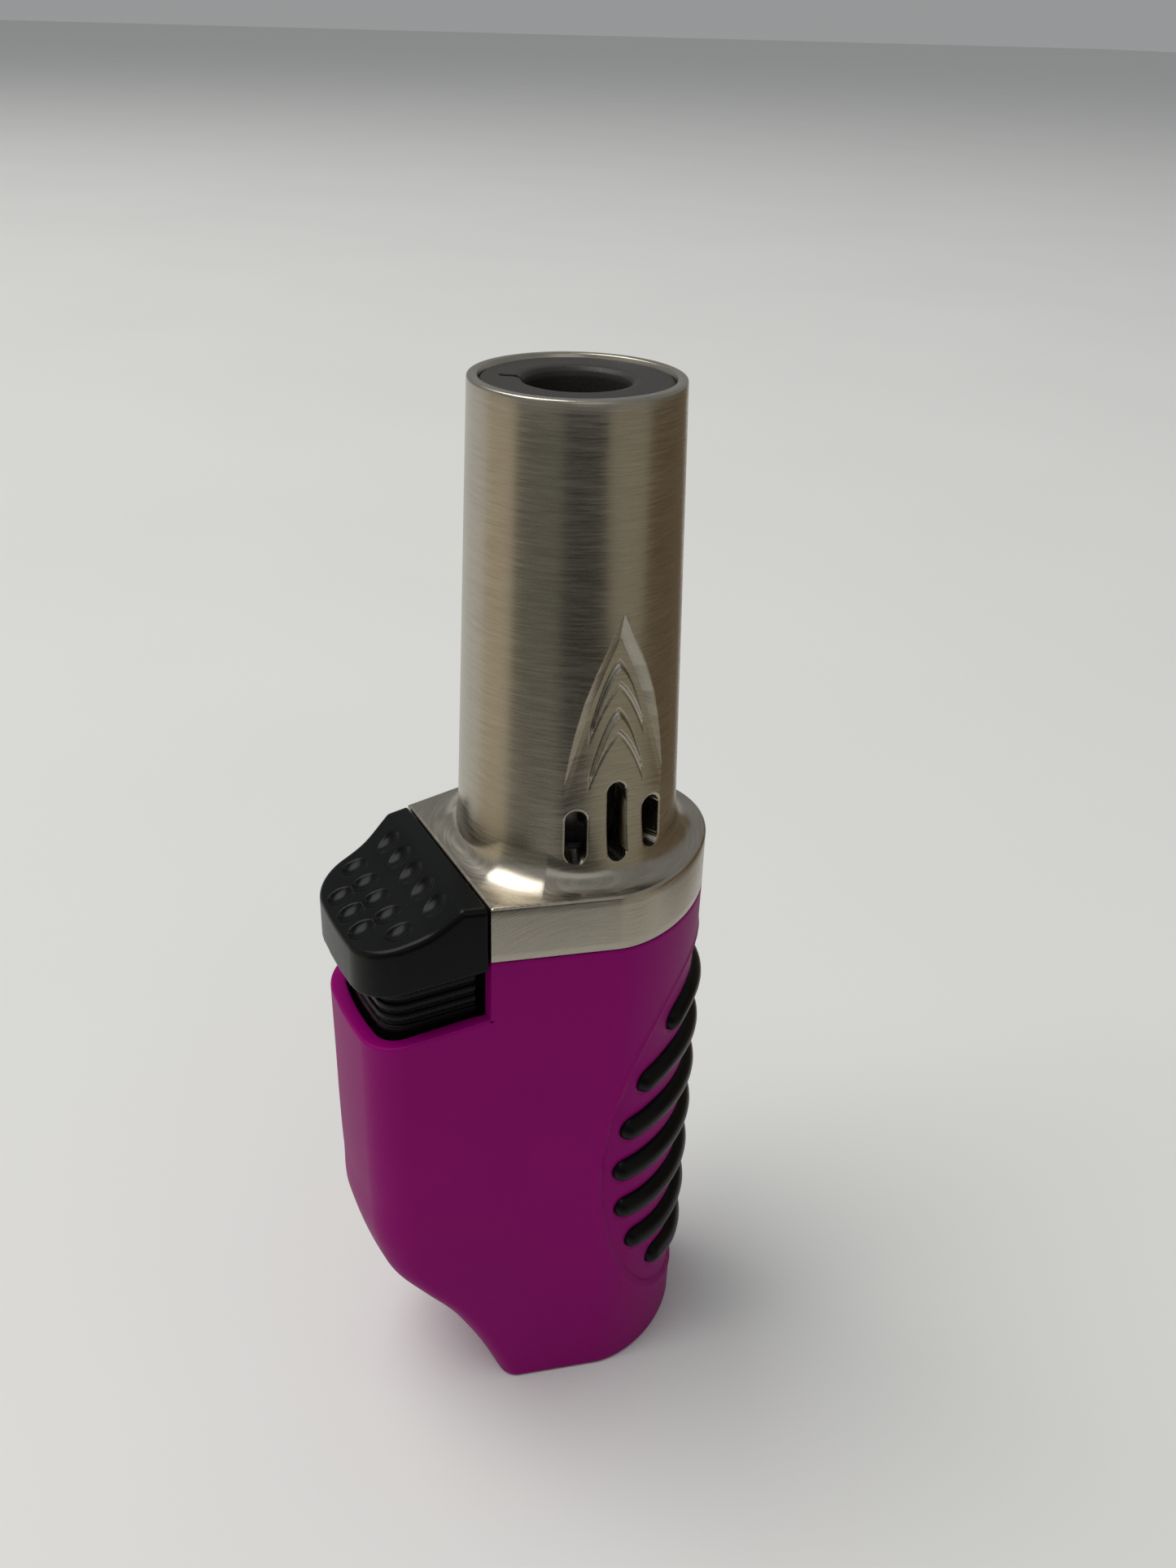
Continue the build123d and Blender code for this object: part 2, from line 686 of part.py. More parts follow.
def fuel_tank():
    """Translucent tank that fills the lower body."""
    shape = tank_block(TANK_INSET, TANK_FLOOR, TANK_TOP, TANK_BACK_Y, LOBE_TOP)
    cavity = tank_block(
        TANK_INSET + TANK_WALL,
        TANK_FLOOR + TANK_WALL,
        TANK_TOP + 1,
        TANK_BACK_Y - TANK_WALL,
        LOBE_TOP - TANK_WALL,
    )
    shape = shape - cavity
    for x, y in BASE_SCREWS:
        shape = shape + cylinder(x, y, TANK_FLOOR, 9.0, 2.4) - cylinder(x, y, 2, 8.0, 1.0)
    shape = shape - cylinder(0, REFILL_Y, 0, 6, 3.0)
    return shape - cylinder(0, DIAL_Y, 0, 6, 3.4)


def tank_slab(inset, low, high, back):
    """A level slab with the tank's top outline."""
    whole = extrude(plan(low, inset, size_z=TANK_TOP), amount=high - low)
    return whole & block(-40, 40, -40, back, low - 1, high + 1)


def tank_gasket():
    """Flat rubber seal between the tank and its lid."""
    slab = tank_slab(TANK_INSET + 0.2, TANK_TOP, TANK_TOP + 0.6, TANK_BACK_Y - 0.2)
    return slab - tank_slab(TANK_INSET + TANK_WALL, TANK_TOP - 1, TANK_TOP + 2, TANK_BACK_Y - TANK_WALL)


def tank_lid():
    """Welded lid with the valve's boss."""
    slab = tank_slab(TANK_INSET, TANK_TOP + 0.6, PLATE_Z, TANK_BACK_Y)
    return slab - cylinder(0, 0, 45, 60, VALVE_R)


def feed_tube():
    """Tube from the regulator to the outlet valve."""
    return ring(0, 0, 16.0, 46.0, 1.3, 0.7)


def regulator_housing():
    """Brass needle housing in the tank's floor, under the feed tube."""
    shape = cylinder(0, DIAL_Y, TANK_FLOOR, 12.0, 3.4)
    shape = shape - cylinder(0, DIAL_Y, 0, 10.0, 1.55)
    bridge = block(-2.2, 2.2, -2.2, DIAL_Y + 2.2, 12.0, 16.0)
    bridge = bridge - cylinder(0, 0, 14.0, 18, 0.7) - block(-0.5, 0.5, -0.5, DIAL_Y, 13.0, 14.0)
    return shape + bridge


def flame_adjuster():
    """Slotted dial in the base with its needle."""
    shape = cylinder(0, DIAL_Y, 0.5, 2.4, DIAL_R)
    shape = shape + cylinder(0, DIAL_Y, 2.4, 9.0, 1.5)
    shape = shape - block(-3.4, 3.4, DIAL_Y - 0.4, DIAL_Y + 0.4, 0, 1.3)
    for k in range(16):
        angle = k * math.pi / 8
        x, y = (DIAL_R + 0.1) * math.cos(angle), (DIAL_R + 0.1) * math.sin(angle)
        shape = shape - cylinder(x, DIAL_Y + y, 0, 2.5, 0.35)
    return shape


def refill_valve_body():
    """Brass filling valve in the tank's floor."""
    return turned(
        [
            (1.6, 0.7),
            (3.4, 0.7),
            (3.4, BASE_THICK),
            (3.0, BASE_THICK),
            (3.0, 13.0),
            (0.5, 13.0),
            (0.5, 12.0),
            (2.0, 12.0),
            (2.0, 5.0),
            (1.2, 5.0),
            (1.2, 3.2),
            (1.6, 3.2),
        ],
        y=REFILL_Y,
    )


def refill_gasket():
    """Rubber seal under the filling stem's head."""
    return ring(0, REFILL_Y, 5.0, 5.7, 1.9, 1.2)


def refill_stem():
    """Filling stem, pressed in by a gas can's nozzle."""
    return turned(
        [(0.0, 5.9), (0.4, 5.9), (0.4, 1.2), (1.05, 1.2), (1.05, 5.8), (1.7, 5.8), (1.7, 7.0), (0.0, 7.0)],
        y=REFILL_Y,
    )


def refill_spring():
    """Spring behind the filling stem."""
    return coil(0, REFILL_Y, 7.0, 12.0, 1.3, 0.2, 4)


# --- Casing ---------------------------------------------------------------------------------------


def above_rim():
    """Everything over the pocket's sloping rim, behind the head."""
    back_y = 50.0
    low = RIM_Z - RIM_SLOPE * (back_y - HEAD_BACK_Y)
    return side_prism([(HEAD_BACK_Y, RIM_Z), (back_y, low), (back_y, 90), (HEAD_BACK_Y, 90)])


def rib_band(z, outer_inset, inner_inset, height):
    """A level band between two insets of the body's outline."""
    outer = extrude(plan(z - 0.5 * height, outer_inset, size_z=z), amount=height)
    inner = extrude(plan(z - 0.5 * height - 1, inner_inset, size_z=z), amount=height + 2)
    return outer, inner


def body_shell():
    """Moulded outer body: one sleeve with the button's pocket, the oval recess and the rib slots."""
    outer = body_solid()
    inner = body_solid(SHELL_WALL, low=-1.0, high=77.0)
    recess_core = body_solid(RECESS_DEPTH, low=-1.0, high=77.0)
    shape = outer - inner
    recess = (outer - recess_core) & side_oval(GRIP_HALF_Y, GRIP_HALF_Z)
    shape = shape - recess
    shape = shape & block(-40, 40, -40, 60, 0, BODY_TOP)
    shape = shape - above_rim()
    ends = side_oval(RIB_END_Y, RIB_END_Z)
    for z in RIB_LEVELS:
        shape = shape - (block(-40, 40, -40, 20, z - 0.5 * RIB_HEIGHT, z + 0.5 * RIB_HEIGHT) & ends)
    return shape


def finger_grip():
    """Rubber grip behind the front wall, with ribs that stand through the slots."""
    back = body_solid(SHELL_WALL + 0.05, low=3.0, high=70.0)
    front = body_solid(SHELL_WALL + 0.05 + GRIP_BACKING, low=2.0, high=71.0)
    pad = (back - front) & side_oval(RIB_END_Y + 0.9, RIB_END_Z + 1.6)
    ends = side_oval(RIB_END_Y - 0.1, RIB_END_Z - 0.1)
    for z in RIB_LEVELS:
        height = RIB_HEIGHT - 0.1
        outer, inner = rib_band(z, -RIB_PROUD, SHELL_WALL + 0.3, height)
        outer = fillet(outer.edges().filter_by(Plane.XY), 1.1)
        pad = pad + ((outer - inner) & ends)
    return pad


def chassis():
    """Inner frame: plate, posts under the head, cheeks for the lever and arms round the spark unit."""
    shape = extrude(plan(PLATE_Z, SHELL_WALL + GRIP_BACKING + 0.4), amount=PLATE_THICK)
    shape = shape & block(-40, 40, -40, 16.6, 0, 100)
    shape = shape - block(5.9, 8.1, 13.0, 17.0, 50, 60)
    for x in (-POST_X, POST_X):
        shape = shape + cylinder(x, POST_Y, PLATE_Z, BODY_TOP, 2.6)
    for s in (-1, 1):
        cheek = block(2.7, 4.8, 1.0, 6.5, PLATE_Z, PIVOT_Z + 2.4)
        arm = block(4.2, 5.8, 15.0, 27.0, 46.0, 53.0) + block(4.2, 5.8, 15.0, 16.6, 46.0, PLATE_Z + 1)
        if s < 0:
            cheek = mirror(cheek, about=Plane.YZ)
            arm = mirror(arm, about=Plane.YZ)
        shape = shape + cheek + arm
    shape = shape - cylinder(0, 0, 50, 63, VALVE_R + 0.2)
    pin = Pos(0, PIVOT_Y, PIVOT_Z) * Rot(0, 90, 0) * Cylinder(PIN_R, 20)
    return shape - pin


def base_plate():
    """Flat plate that closes the foot."""
    shape = extrude(plan(0.0, SHELL_WALL + 0.15), amount=BASE_THICK)
    shape = shape - cylinder(0, REFILL_Y, -1, 4, 3.5)
    shape = shape - cylinder(0, DIAL_Y, -1, 4, DIAL_R + 0.3)
    for x, y in BASE_SCREWS:
        shape = shape - cylinder(x, y, -1, 4, 1.1) - cylinder(x, y, -1, 1.5, 2.2)
    return shape


def base_screws():
    """Two screws from the base plate into the tank."""
    screws = []
    for x, y in BASE_SCREWS:
        screw = cylinder(x, y, 0.3, 1.5, 2.0) + cylinder(x, y, 1.4, 7.8, 1.0)
        screws.append(screw - cross_slot(x, y, 0.0, 1.0))
    return screws[0] + screws[1]


NODES = [
    head_shell,
    nozzle_guard,
    burner_tube,
    flame_holder,
    flame_gauze,
    gas_jet,
    burner_deck,
    head_screws,
    electrode_insulator,
    electrode,
    thumb_button,
    button_skirt,
    piezo_plunger,
    piezo_barrel,
    piezo_crystal,
    piezo_spring,
    ignition_lead,
    gas_lever,
    lever_pin,
    valve_body,
    valve_gasket,
    valve_stem,
    valve_spring,
    gas_hose,
    fuel_tank,
    tank_gasket,
    tank_lid,
    feed_tube,
    regulator_housing,
    flame_adjuster,
    refill_valve_body,
    refill_gasket,
    refill_stem,
    refill_spring,
    body_shell,
    finger_grip,
    chassis,
    base_plate,
    base_screws,
]

os.makedirs("parts", exist_ok=True)
for make in NODES:
    node = Pos(0, -MID_Y, 0) * make()
    export_step(node, f"parts/{make.__name__}.step")
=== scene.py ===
import json
import math

import bmesh
import bpy
import numpy as np
from mathutils import Matrix, Vector


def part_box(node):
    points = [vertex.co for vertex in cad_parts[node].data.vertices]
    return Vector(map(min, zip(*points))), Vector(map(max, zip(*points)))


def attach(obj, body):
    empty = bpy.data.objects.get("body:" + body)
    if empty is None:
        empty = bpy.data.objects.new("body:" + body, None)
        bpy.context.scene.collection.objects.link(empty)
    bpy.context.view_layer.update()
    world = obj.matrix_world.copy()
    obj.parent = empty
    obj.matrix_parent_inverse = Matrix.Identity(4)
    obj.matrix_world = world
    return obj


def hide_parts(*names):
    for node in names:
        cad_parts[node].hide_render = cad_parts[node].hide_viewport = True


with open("model.json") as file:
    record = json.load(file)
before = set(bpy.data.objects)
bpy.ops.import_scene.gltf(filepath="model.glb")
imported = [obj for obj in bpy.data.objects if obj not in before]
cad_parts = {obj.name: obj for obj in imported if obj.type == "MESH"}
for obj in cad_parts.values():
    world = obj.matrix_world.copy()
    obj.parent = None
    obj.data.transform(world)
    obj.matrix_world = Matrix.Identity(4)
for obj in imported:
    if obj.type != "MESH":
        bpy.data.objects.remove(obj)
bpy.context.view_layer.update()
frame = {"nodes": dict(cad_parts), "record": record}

MM = 0.001

# --- Places taken from the frame, in millimetres, about the burner axis ------------------------------


def frame_box(name):
    """Lowest and highest corner of a CAD node in millimetres, in the frame."""
    return [np.array(corner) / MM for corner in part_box(name)]


def node_box(name):
    """Lowest and highest corner of a CAD node in millimetres, about the burner axis."""
    low, high = frame_box(name)
    return low - SHIFT, high - SHIFT


# The burner axis in the frame: the round guard's middle.
GUARD = frame_box("nozzle_guard")
SHIFT = np.array([0.0, 0.5 * (GUARD[0][1] + GUARD[1][1]), 0.0])

HEAD = node_box("head_shell")
SHELL = node_box("body_shell")
BODY_TOP = SHELL[1][2]
HEIGHT = HEAD[1][2]
HEAD_BACK_Y = HEAD[1][1]
NOSE_TOP = HEAD[0][1]

# --- Shape of the torch, in millimetres ---------------------------------------------------------------

FLANGE_TOP = BODY_TOP + 7.7
TUBE_TOP_R, TUBE_BASE_R, TUBE_WALL = 12.2, 13.95, 1.2
LOWER_BORE_R = 10.3
GUARD_SEAT_Z = HEIGHT - 16.0
SIDE_TOP, SIDE_FOOT = 17.55, 16.0
NOSE_FOOT = NOSE_TOP + 0.61
SIDE_Y, SIDE_TAPER, SIDE_LEAD, NOSE_FULL = 1.5, 0.2535, 7.0, 10.5
BACK_BOW = 0.8
MIN_CORNER_R = 0.8
# Below this height the back slopes, and an inset measured level grows by this share over the given drop.
SLOPED_BACK_Z, SLOPE_EXTRA, SLOPE_EASE = 30.0, 0.42, 5.0
SHELL_WALL, RIM_WALL = 1.8, 2.05
RIM_Z, RIM_SLOPE = 66.3, 0.25
# Where the shell's rim parts from its outline, and the radius of the rim's and the lip's edges.
RIM_BASE_Z, RIM_EDGE, LIP_EDGE = 61.5, 0.35, 0.25
# Back of the body from the foot upwards: height, back face, corner radius.
BACK_ROWS = [
    (0.0, 14.6, 2.6),
    (5.0, 16.6, 2.6),
    (10.0, 19.0, 2.8),
    (15.0, 22.0, 3.0),
    (19.0, 25.4, 3.4),
    (23.0, 28.6, 4.2),
    (28.0, 30.3, 5.4),
    (36.0, 30.7, 6.2),
    (56.0, 30.9, 6.4),
    (76.0, 31.0, 6.4),
]
# Grip: the oval recess, the oval on which the ribs end, and the ribs.
GRIP_Y, GRIP_Z = -18.5, 37.1
GRIP_HALF_Y, GRIP_HALF_Z = 20.4, 30.7
RIB_END_Y, RIB_END_Z = 18.4, 27.3
RIB_LEVELS = [15.0 + 7.5 * k for k in range(7)]
RIB_R, RIB_END_R = 1.95, 1.8
RIB_PROUD, RIB_OVERREACH = 1.0, 0.25
RIB_FAN, RIB_FAN_FROM, RIB_FAN_LENGTH = 0.055, 34.0, 7.0
RIB_TAPER_LENGTH = 9.0
RIB_MOAT = 0.22
RECESS_DEPTH, BORDER_BEAD = 0.42, 0.14
TINY = 1e-6


def lerp(a, b, t):
    """The value a share t of the way from a to b."""
    return a + (b - a) * t


def smooth(low, high, x):
    """0 below low, 1 above high, and a soft step between."""
    t = np.clip((np.asarray(x, float) - low) / (high - low), 0.0, 1.0)
    return t * t * (3 - 2 * t)


def back_at(z):
    """Back face and corner radius at a height, on a smooth curve through the rows."""
    rows = np.array(BACK_ROWS)
    slopes = np.gradient(rows[:, 1], rows[:, 0])
    k = int(np.clip(np.searchsorted(rows[:, 0], z) - 1, 0, len(rows) - 2))
    (z0, y0, r0), (z1, y1, r1) = rows[k], rows[k + 1]
    t = (z - z0) / (z1 - z0)
    rise = (slopes[k] * t * (1 - t) - slopes[k + 1] * t * t) * (1 - t) * (z1 - z0)
    return lerp(y0, y1, t * t * (3 - 2 * t)) + rise, lerp(r0, r1, t)


def bezier(points, count):
    """Points on a cubic Bezier curve, both ends included."""
    a, b, c, d = (np.array(p, float) for p in points)
    t = np.linspace(0, 1, count)[:, None]
    return a * (1 - t) ** 3 + 3 * b * t * (1 - t) ** 2 + 3 * c * t * t * (1 - t) + d * t**3


def line(a, b, count):
    """Points on a straight line, both ends included."""
    t = np.linspace(0, 1, count)[:, None]
    return np.array(a) * (1 - t) + np.array(b) * t


def nose_curve(side_x, nose_y, inset, count):
    """The soft nose from the middle of the front to where the side runs straight."""
    return bezier(
        [
            (0, nose_y),
            (NOSE_FULL - 0.5 * inset, nose_y),
            (side_x + SIDE_TAPER * SIDE_LEAD, SIDE_Y - SIDE_LEAD),
            (side_x, SIDE_Y),
        ],
        count,
    )


# Points on each stretch of half an outline.
NOSE_COUNT, SIDE_COUNT, TAIL_COUNT, CORNER_COUNT, BACK_COUNT = 80, 34, 26, 14, 14


def body_half(z, inset=0.0):
    """The body's outline on the +X side, from the nose round to the middle of the back."""
    level = min(max(z, 0.0), BODY_TOP)
    back_y, corner_r = back_at(level)
    back_y -= inset * (1 + SLOPE_EXTRA * min(1.0, max(0.0, (SLOPED_BACK_Z - level) / SLOPE_EASE)))
    t = level / BODY_TOP
    side_x = lerp(SIDE_FOOT, SIDE_TOP, t) - inset
    nose_y = lerp(NOSE_FOOT, NOSE_TOP, t) + inset
    corner = np.array([side_x - SIDE_TAPER * (back_y - BACK_BOW - SIDE_Y), back_y - BACK_BOW])
    corner_r = max(corner_r - inset, MIN_CORNER_R)
    side_way = np.array([-SIDE_TAPER, 1.0]) / math.hypot(SIDE_TAPER, 1.0)
    bow_slope = 2 * BACK_BOW / corner[0]
    back_way = np.array([-1.0, bow_slope]) / math.hypot(1.0, bow_slope)
    turn = math.acos(float(side_way @ back_way))
    reach = corner_r * math.tan(turn / 2)
    handle = 4 / 3 * math.tan(turn / 4) * corner_r
    side_end = corner - side_way * reach
    back_x = corner[0] - reach * -back_way[0]
    back_start = np.array([back_x, back_y - BACK_BOW * (back_x / corner[0]) ** 2])
    nose = nose_curve(side_x, nose_y, inset, NOSE_COUNT)
    split_y = min(HEAD_BACK_Y, lerp(SIDE_Y, side_end[1], 0.7))
    split = (side_x - SIDE_TAPER * (split_y - SIDE_Y), split_y)
    side = line(nose[-1], split, SIDE_COUNT)
    tail = line(split, side_end, TAIL_COUNT)
    handles = (side_end + side_way * handle, back_start - back_way * handle)
    round_end = bezier([side_end, *handles, back_start], CORNER_COUNT)
    x = np.linspace(back_start[0], 0, BACK_COUNT)
    back = np.stack([x, back_y - BACK_BOW * (x / corner[0]) ** 2], 1)
    return np.concatenate([nose, side[1:], tail[1:], round_end[1:], back[1:]])


HALF_COUNT = NOSE_COUNT + SIDE_COUNT + TAIL_COUNT + CORNER_COUNT + BACK_COUNT - 4
LOOP_COUNT = 2 * HALF_COUNT - 2
# The outline's point on the +X side at which the pocket begins.
SPLIT_INDEX = NOSE_COUNT + SIDE_COUNT - 2


def body_loop(z, inset=0.0):
    """The whole outline: from the nose along +X to the back, and along -X to the nose again."""
    half = body_half(z, inset)
    mirrored = half[::-1][1:-1] * [-1, 1]
    return np.concatenate([half, mirrored])


def outward(loop):
    """Unit outward normals of a closed outline."""
    along = np.roll(loop, -1, 0) - np.roll(loop, 1, 0)
    normal = np.stack([along[:, 1], -along[:, 0]], 1)
    return normal / np.linalg.norm(normal, axis=1, keepdims=True)


# --- Mesh helpers -------------------------------------------------------------------------------------


class Skin:
    """Collects grids of points, in millimetres about the burner axis, and makes one mesh of them."""

    def __init__(self):
        self.points, self.faces = [], []

    def add(self, grid):
        """Adds a grid of points without faces, and returns its numbers."""
        grid = np.asarray(grid, float)
        start = len(self.points)
        self.points.extend(grid.reshape(-1, 3).tolist())
        return start + np.arange(grid.shape[0] * grid.shape[1]).reshape(grid.shape[:2])

    def weave(self, index, wrap=False):
        """Faces between the rows and columns of point numbers."""
        right = np.roll(index, -1, 1) if wrap else index[:, 1:]
        left = index if wrap else index[:, :-1]
        quads = np.stack([left[:-1], right[:-1], right[1:], left[1:]], -1)
        self.faces.extend(quads.reshape(-1, 4).tolist())

    def cap(self, loop):
        """One flat face over a closed loop."""
        self.faces.append([int(i) for i in loop])

    def build(self, name, weld):
        """The object, with points closer than the weld distance joined."""
        mesh = bpy.data.meshes.new(name)
        points = (np.array(self.points) + SHIFT) * MM
        mesh.from_pydata(points.tolist(), [], self.faces)
        form = bmesh.new()
        form.from_mesh(mesh)
        bmesh.ops.remove_doubles(form, verts=form.verts, dist=weld * MM)
        bmesh.ops.recalc_face_normals(form, faces=form.faces)
        form.to_mesh(mesh)
        form.free()
        piece = bpy.data.objects.new(name, mesh)
        bpy.context.scene.collection.objects.link(piece)
        return piece


def shade(piece, angle):
    """Smooth shading, with edges sharper than the angle in degrees left crisp."""
    mesh = piece.data
    mesh.shade_smooth()
    mesh.set_sharp_from_angle(angle=math.radians(angle))


def finish_piece(piece, body, material, slot, *nodes):
    """Gives a piece its material and body, and lets it stand for CAD nodes."""
    piece.data.materials.clear()
    piece.data.materials.append(material)
    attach(piece, body)
    if nodes:
        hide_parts(*nodes)


# --- Materials ----------------------------------------------------------------------------------------


# Range of a noise texture's values that is spread over a wanted range.
NOISE_LOW, NOISE_HIGH = 0.3, 0.7


class Paint:
    """A procedural material made node by node."""

    def __init__(self, name, color, roughness, metallic=0.0, **sockets):
        self.material = bpy.data.materials.new(name)
        self.material.use_nodes = True
        self.nodes = self.material.node_tree.nodes
        self.links = self.material.node_tree.links
        self.shader = self.nodes["Principled BSDF"]
        self.shader.inputs["Base Color"].default_value = (*color, 1.0)
        self.shader.inputs["Roughness"].default_value = roughness
        self.shader.inputs["Metallic"].default_value = metallic
        for socket, value in sockets.items():
            self.shader.inputs[socket.replace("_", " ")].default_value = value
        self.place = self.add("ShaderNodeTexCoord").outputs["Object"]
        self.height = None

    def add(self, kind, **values):
        """A new node with the given settings."""
        node = self.nodes.new(kind)
        for key, value in values.items():
            setattr(node, key, value)
        return node

    def math(self, operation, a, b=0.0):
        """The result of a sum on numbers or other nodes' outputs."""
        node = self.add("ShaderNodeMath", operation=operation)
        for socket, value in zip(node.inputs, (a, b)):
            if isinstance(value, (int, float)):
                socket.default_value = value
            else:
                self.links.new(value, socket)
        return node.outputs[0]

    def stretched(self, x, y, z):
        """Object coordinates scaled by cycles per metre along each axis."""
        node = self.add("ShaderNodeMapping")
        node.inputs["Scale"].default_value = (x, y, z)
        self.links.new(self.place, node.inputs["Vector"])
        return node.outputs[0]

    def blend(self, a, b, share):
        """Two values added, the first with the given share and the second with the rest."""
        return self.math("ADD", self.math("MULTIPLY", a, share), self.math("MULTIPLY", b, 1 - share))

    def noise(self, vector, detail=3.0, rough=0.55):
        """Noise over a vector that is already scaled."""
        node = self.add("ShaderNodeTexNoise")
        node.inputs["Scale"].default_value = 1.0
        node.inputs["Detail"].default_value = detail
        node.inputs["Roughness"].default_value = rough
        self.links.new(vector, node.inputs["Vector"])
        return node.outputs["Fac"]

    def even_noise(self, count, detail=3.0, rough=0.55):
        """Noise that is alike every way, with a number of cycles per millimetre."""
        return self.noise(self.stretched(*[per_mm(count)] * 3), detail, rough)

    def spread(self, value, low, high):
        """A noise value mapped to a range."""
        node = self.add("ShaderNodeMapRange")
        node.inputs["From Min"].default_value = NOISE_LOW
        node.inputs["From Max"].default_value = NOISE_HIGH
        node.inputs["To Min"].default_value = low
        node.inputs["To Max"].default_value = high
        self.links.new(value, node.inputs["Value"])
        return node.outputs["Result"]

    def tint(self, value, dark, light):
        """Base colour that runs from dark to light with a value."""
        ramp = self.add("ShaderNodeValToRGB")
        ramp.color_ramp.elements[0].color = (*dark, 1.0)
        ramp.color_ramp.elements[1].color = (*light, 1.0)
        self.links.new(value, ramp.inputs["Fac"])
        self.links.new(ramp.outputs["Color"], self.shader.inputs["Base Color"])

    def roughness(self, value):
        """Lets a value drive the roughness."""
        self.links.new(value, self.shader.inputs["Roughness"])

    def bump(self, value, depth):
        """Adds relief of a depth in metres, on top of any before it."""
        node = self.add("ShaderNodeBump")
        node.inputs["Strength"].default_value = 1.0
        node.inputs["Distance"].default_value = depth
        self.links.new(value, node.inputs["Height"])
        if self.height is not None:
            self.links.new(self.height, node.inputs["Normal"])
        self.height = node.outputs["Normal"]
        self.links.new(self.height, self.shader.inputs["Normal"])


def per_mm(count):
    """Texture cycles per millimetre, in the metres that object coordinates use."""
    return count / MM


def brushed_nickel():
    """Satin nickel with fine marks that run round the tube, and a few worn patches."""
    paint = Paint("brushed_nickel", (0.42, 0.385, 0.32), 0.28, 1.0)
    split = paint.add("ShaderNodeSeparateXYZ")
    paint.links.new(paint.place, split.inputs[0])
    x, y, z = split.outputs
    from_axis = paint.math("SUBTRACT", y, SHIFT[1] * MM)
    squares = [paint.math("MULTIPLY", value, value) for value in (x, from_axis)]
    radius = paint.math("SQRT", paint.math("ADD", *squares))
    across = paint.math("ADD", z, radius)
    vector = paint.add("ShaderNodeCombineXYZ")
    for value, count, socket in zip((x, y, across), (0.22, 0.22, 4.5), vector.inputs):
        paint.links.new(paint.math("MULTIPLY", value, per_mm(count)), socket)
    fine = paint.noise(vector.outputs[0], detail=4.0, rough=0.65)
    patches = paint.even_noise(0.12, detail=2.0)
    marks, wear = paint.spread(fine, 0.22, 0.34), paint.spread(patches, -0.015, 0.02)
    paint.roughness(paint.math("ADD", marks, wear))
    paint.tint(paint.spread(fine, 0.0, 1.0), (0.35, 0.32, 0.265), (0.47, 0.432, 0.365))
    paint.bump(fine, 0.000005)
    return paint.material


def dark_guard():
    """Dark sintered metal with a fine grain."""
    paint = Paint("dark_guard", (0.05, 0.046, 0.042), 0.5, 0.35)
    grain = paint.even_noise(3.0, detail=4.0, rough=0.7)
    paint.tint(grain, (0.02, 0.018, 0.016), (0.05, 0.045, 0.04))
    paint.roughness(paint.spread(grain, 0.42, 0.6))
    paint.bump(grain, 0.00003)
    return paint.material


def magenta_body():
    """Deep magenta soft-touch moulding with a very fine sparkle."""
    paint = Paint("magenta_body", (0.25, 0.0, 0.13), 0.42, 0.0, Specular_IOR_Level=0.07)
    grain = paint.even_noise(9.0, detail=2.0, rough=0.6)
    clouds = paint.even_noise(0.05, detail=2.0)
    paint.tint(paint.blend(grain, clouds, 0.5), (0.2, 0.0, 0.108), (0.29, 0.0, 0.158))
    paint.roughness(paint.spread(grain, 0.36, 0.5))
    paint.bump(grain, 0.000006)
    return paint.material


def moulded(name, dark, light, rough_low, rough_high, grain_depth=0.000008, gloss=0.5):
    """Moulded plastic or rubber with a fine grain and faint clouds of gloss."""
    paint = Paint(name, light, rough_high, Specular_IOR_Level=gloss)
    grain = paint.even_noise(5.0, detail=3.0, rough=0.6)
    clouds = paint.even_noise(0.15, detail=2.0)
    paint.tint(clouds, dark, light)
    paint.roughness(paint.spread(paint.blend(grain, clouds, 0.6), rough_low, rough_high))
    paint.bump(grain, grain_depth)
    return paint.material


def turned_metal(name, dark, light, rough_low, rough_high):
    """Machined metal with fine marks across its height."""
    paint = Paint(name, light, rough_high, 1.0)
    marks = paint.noise(paint.stretched(per_mm(0.6), per_mm(0.6), per_mm(8.0)), detail=3.0)
    paint.tint(marks, dark, light)
    paint.roughness(paint.spread(marks, rough_low, rough_high))
    paint.bump(marks, 0.000006)
    return paint.material


def tank_plastic():
    """Milky translucent plastic."""
    paint = Paint("tank_plastic", (0.62, 0.66, 0.6), 0.3, 0.0, Transmission_Weight=0.5, IOR=1.46)
    clouds = paint.even_noise(0.3)
    paint.tint(clouds, (0.56, 0.6, 0.54), (0.68, 0.72, 0.66))
    paint.roughness(paint.spread(clouds, 0.22, 0.38))
    paint.bump(clouds, 0.00002)
    return paint.material


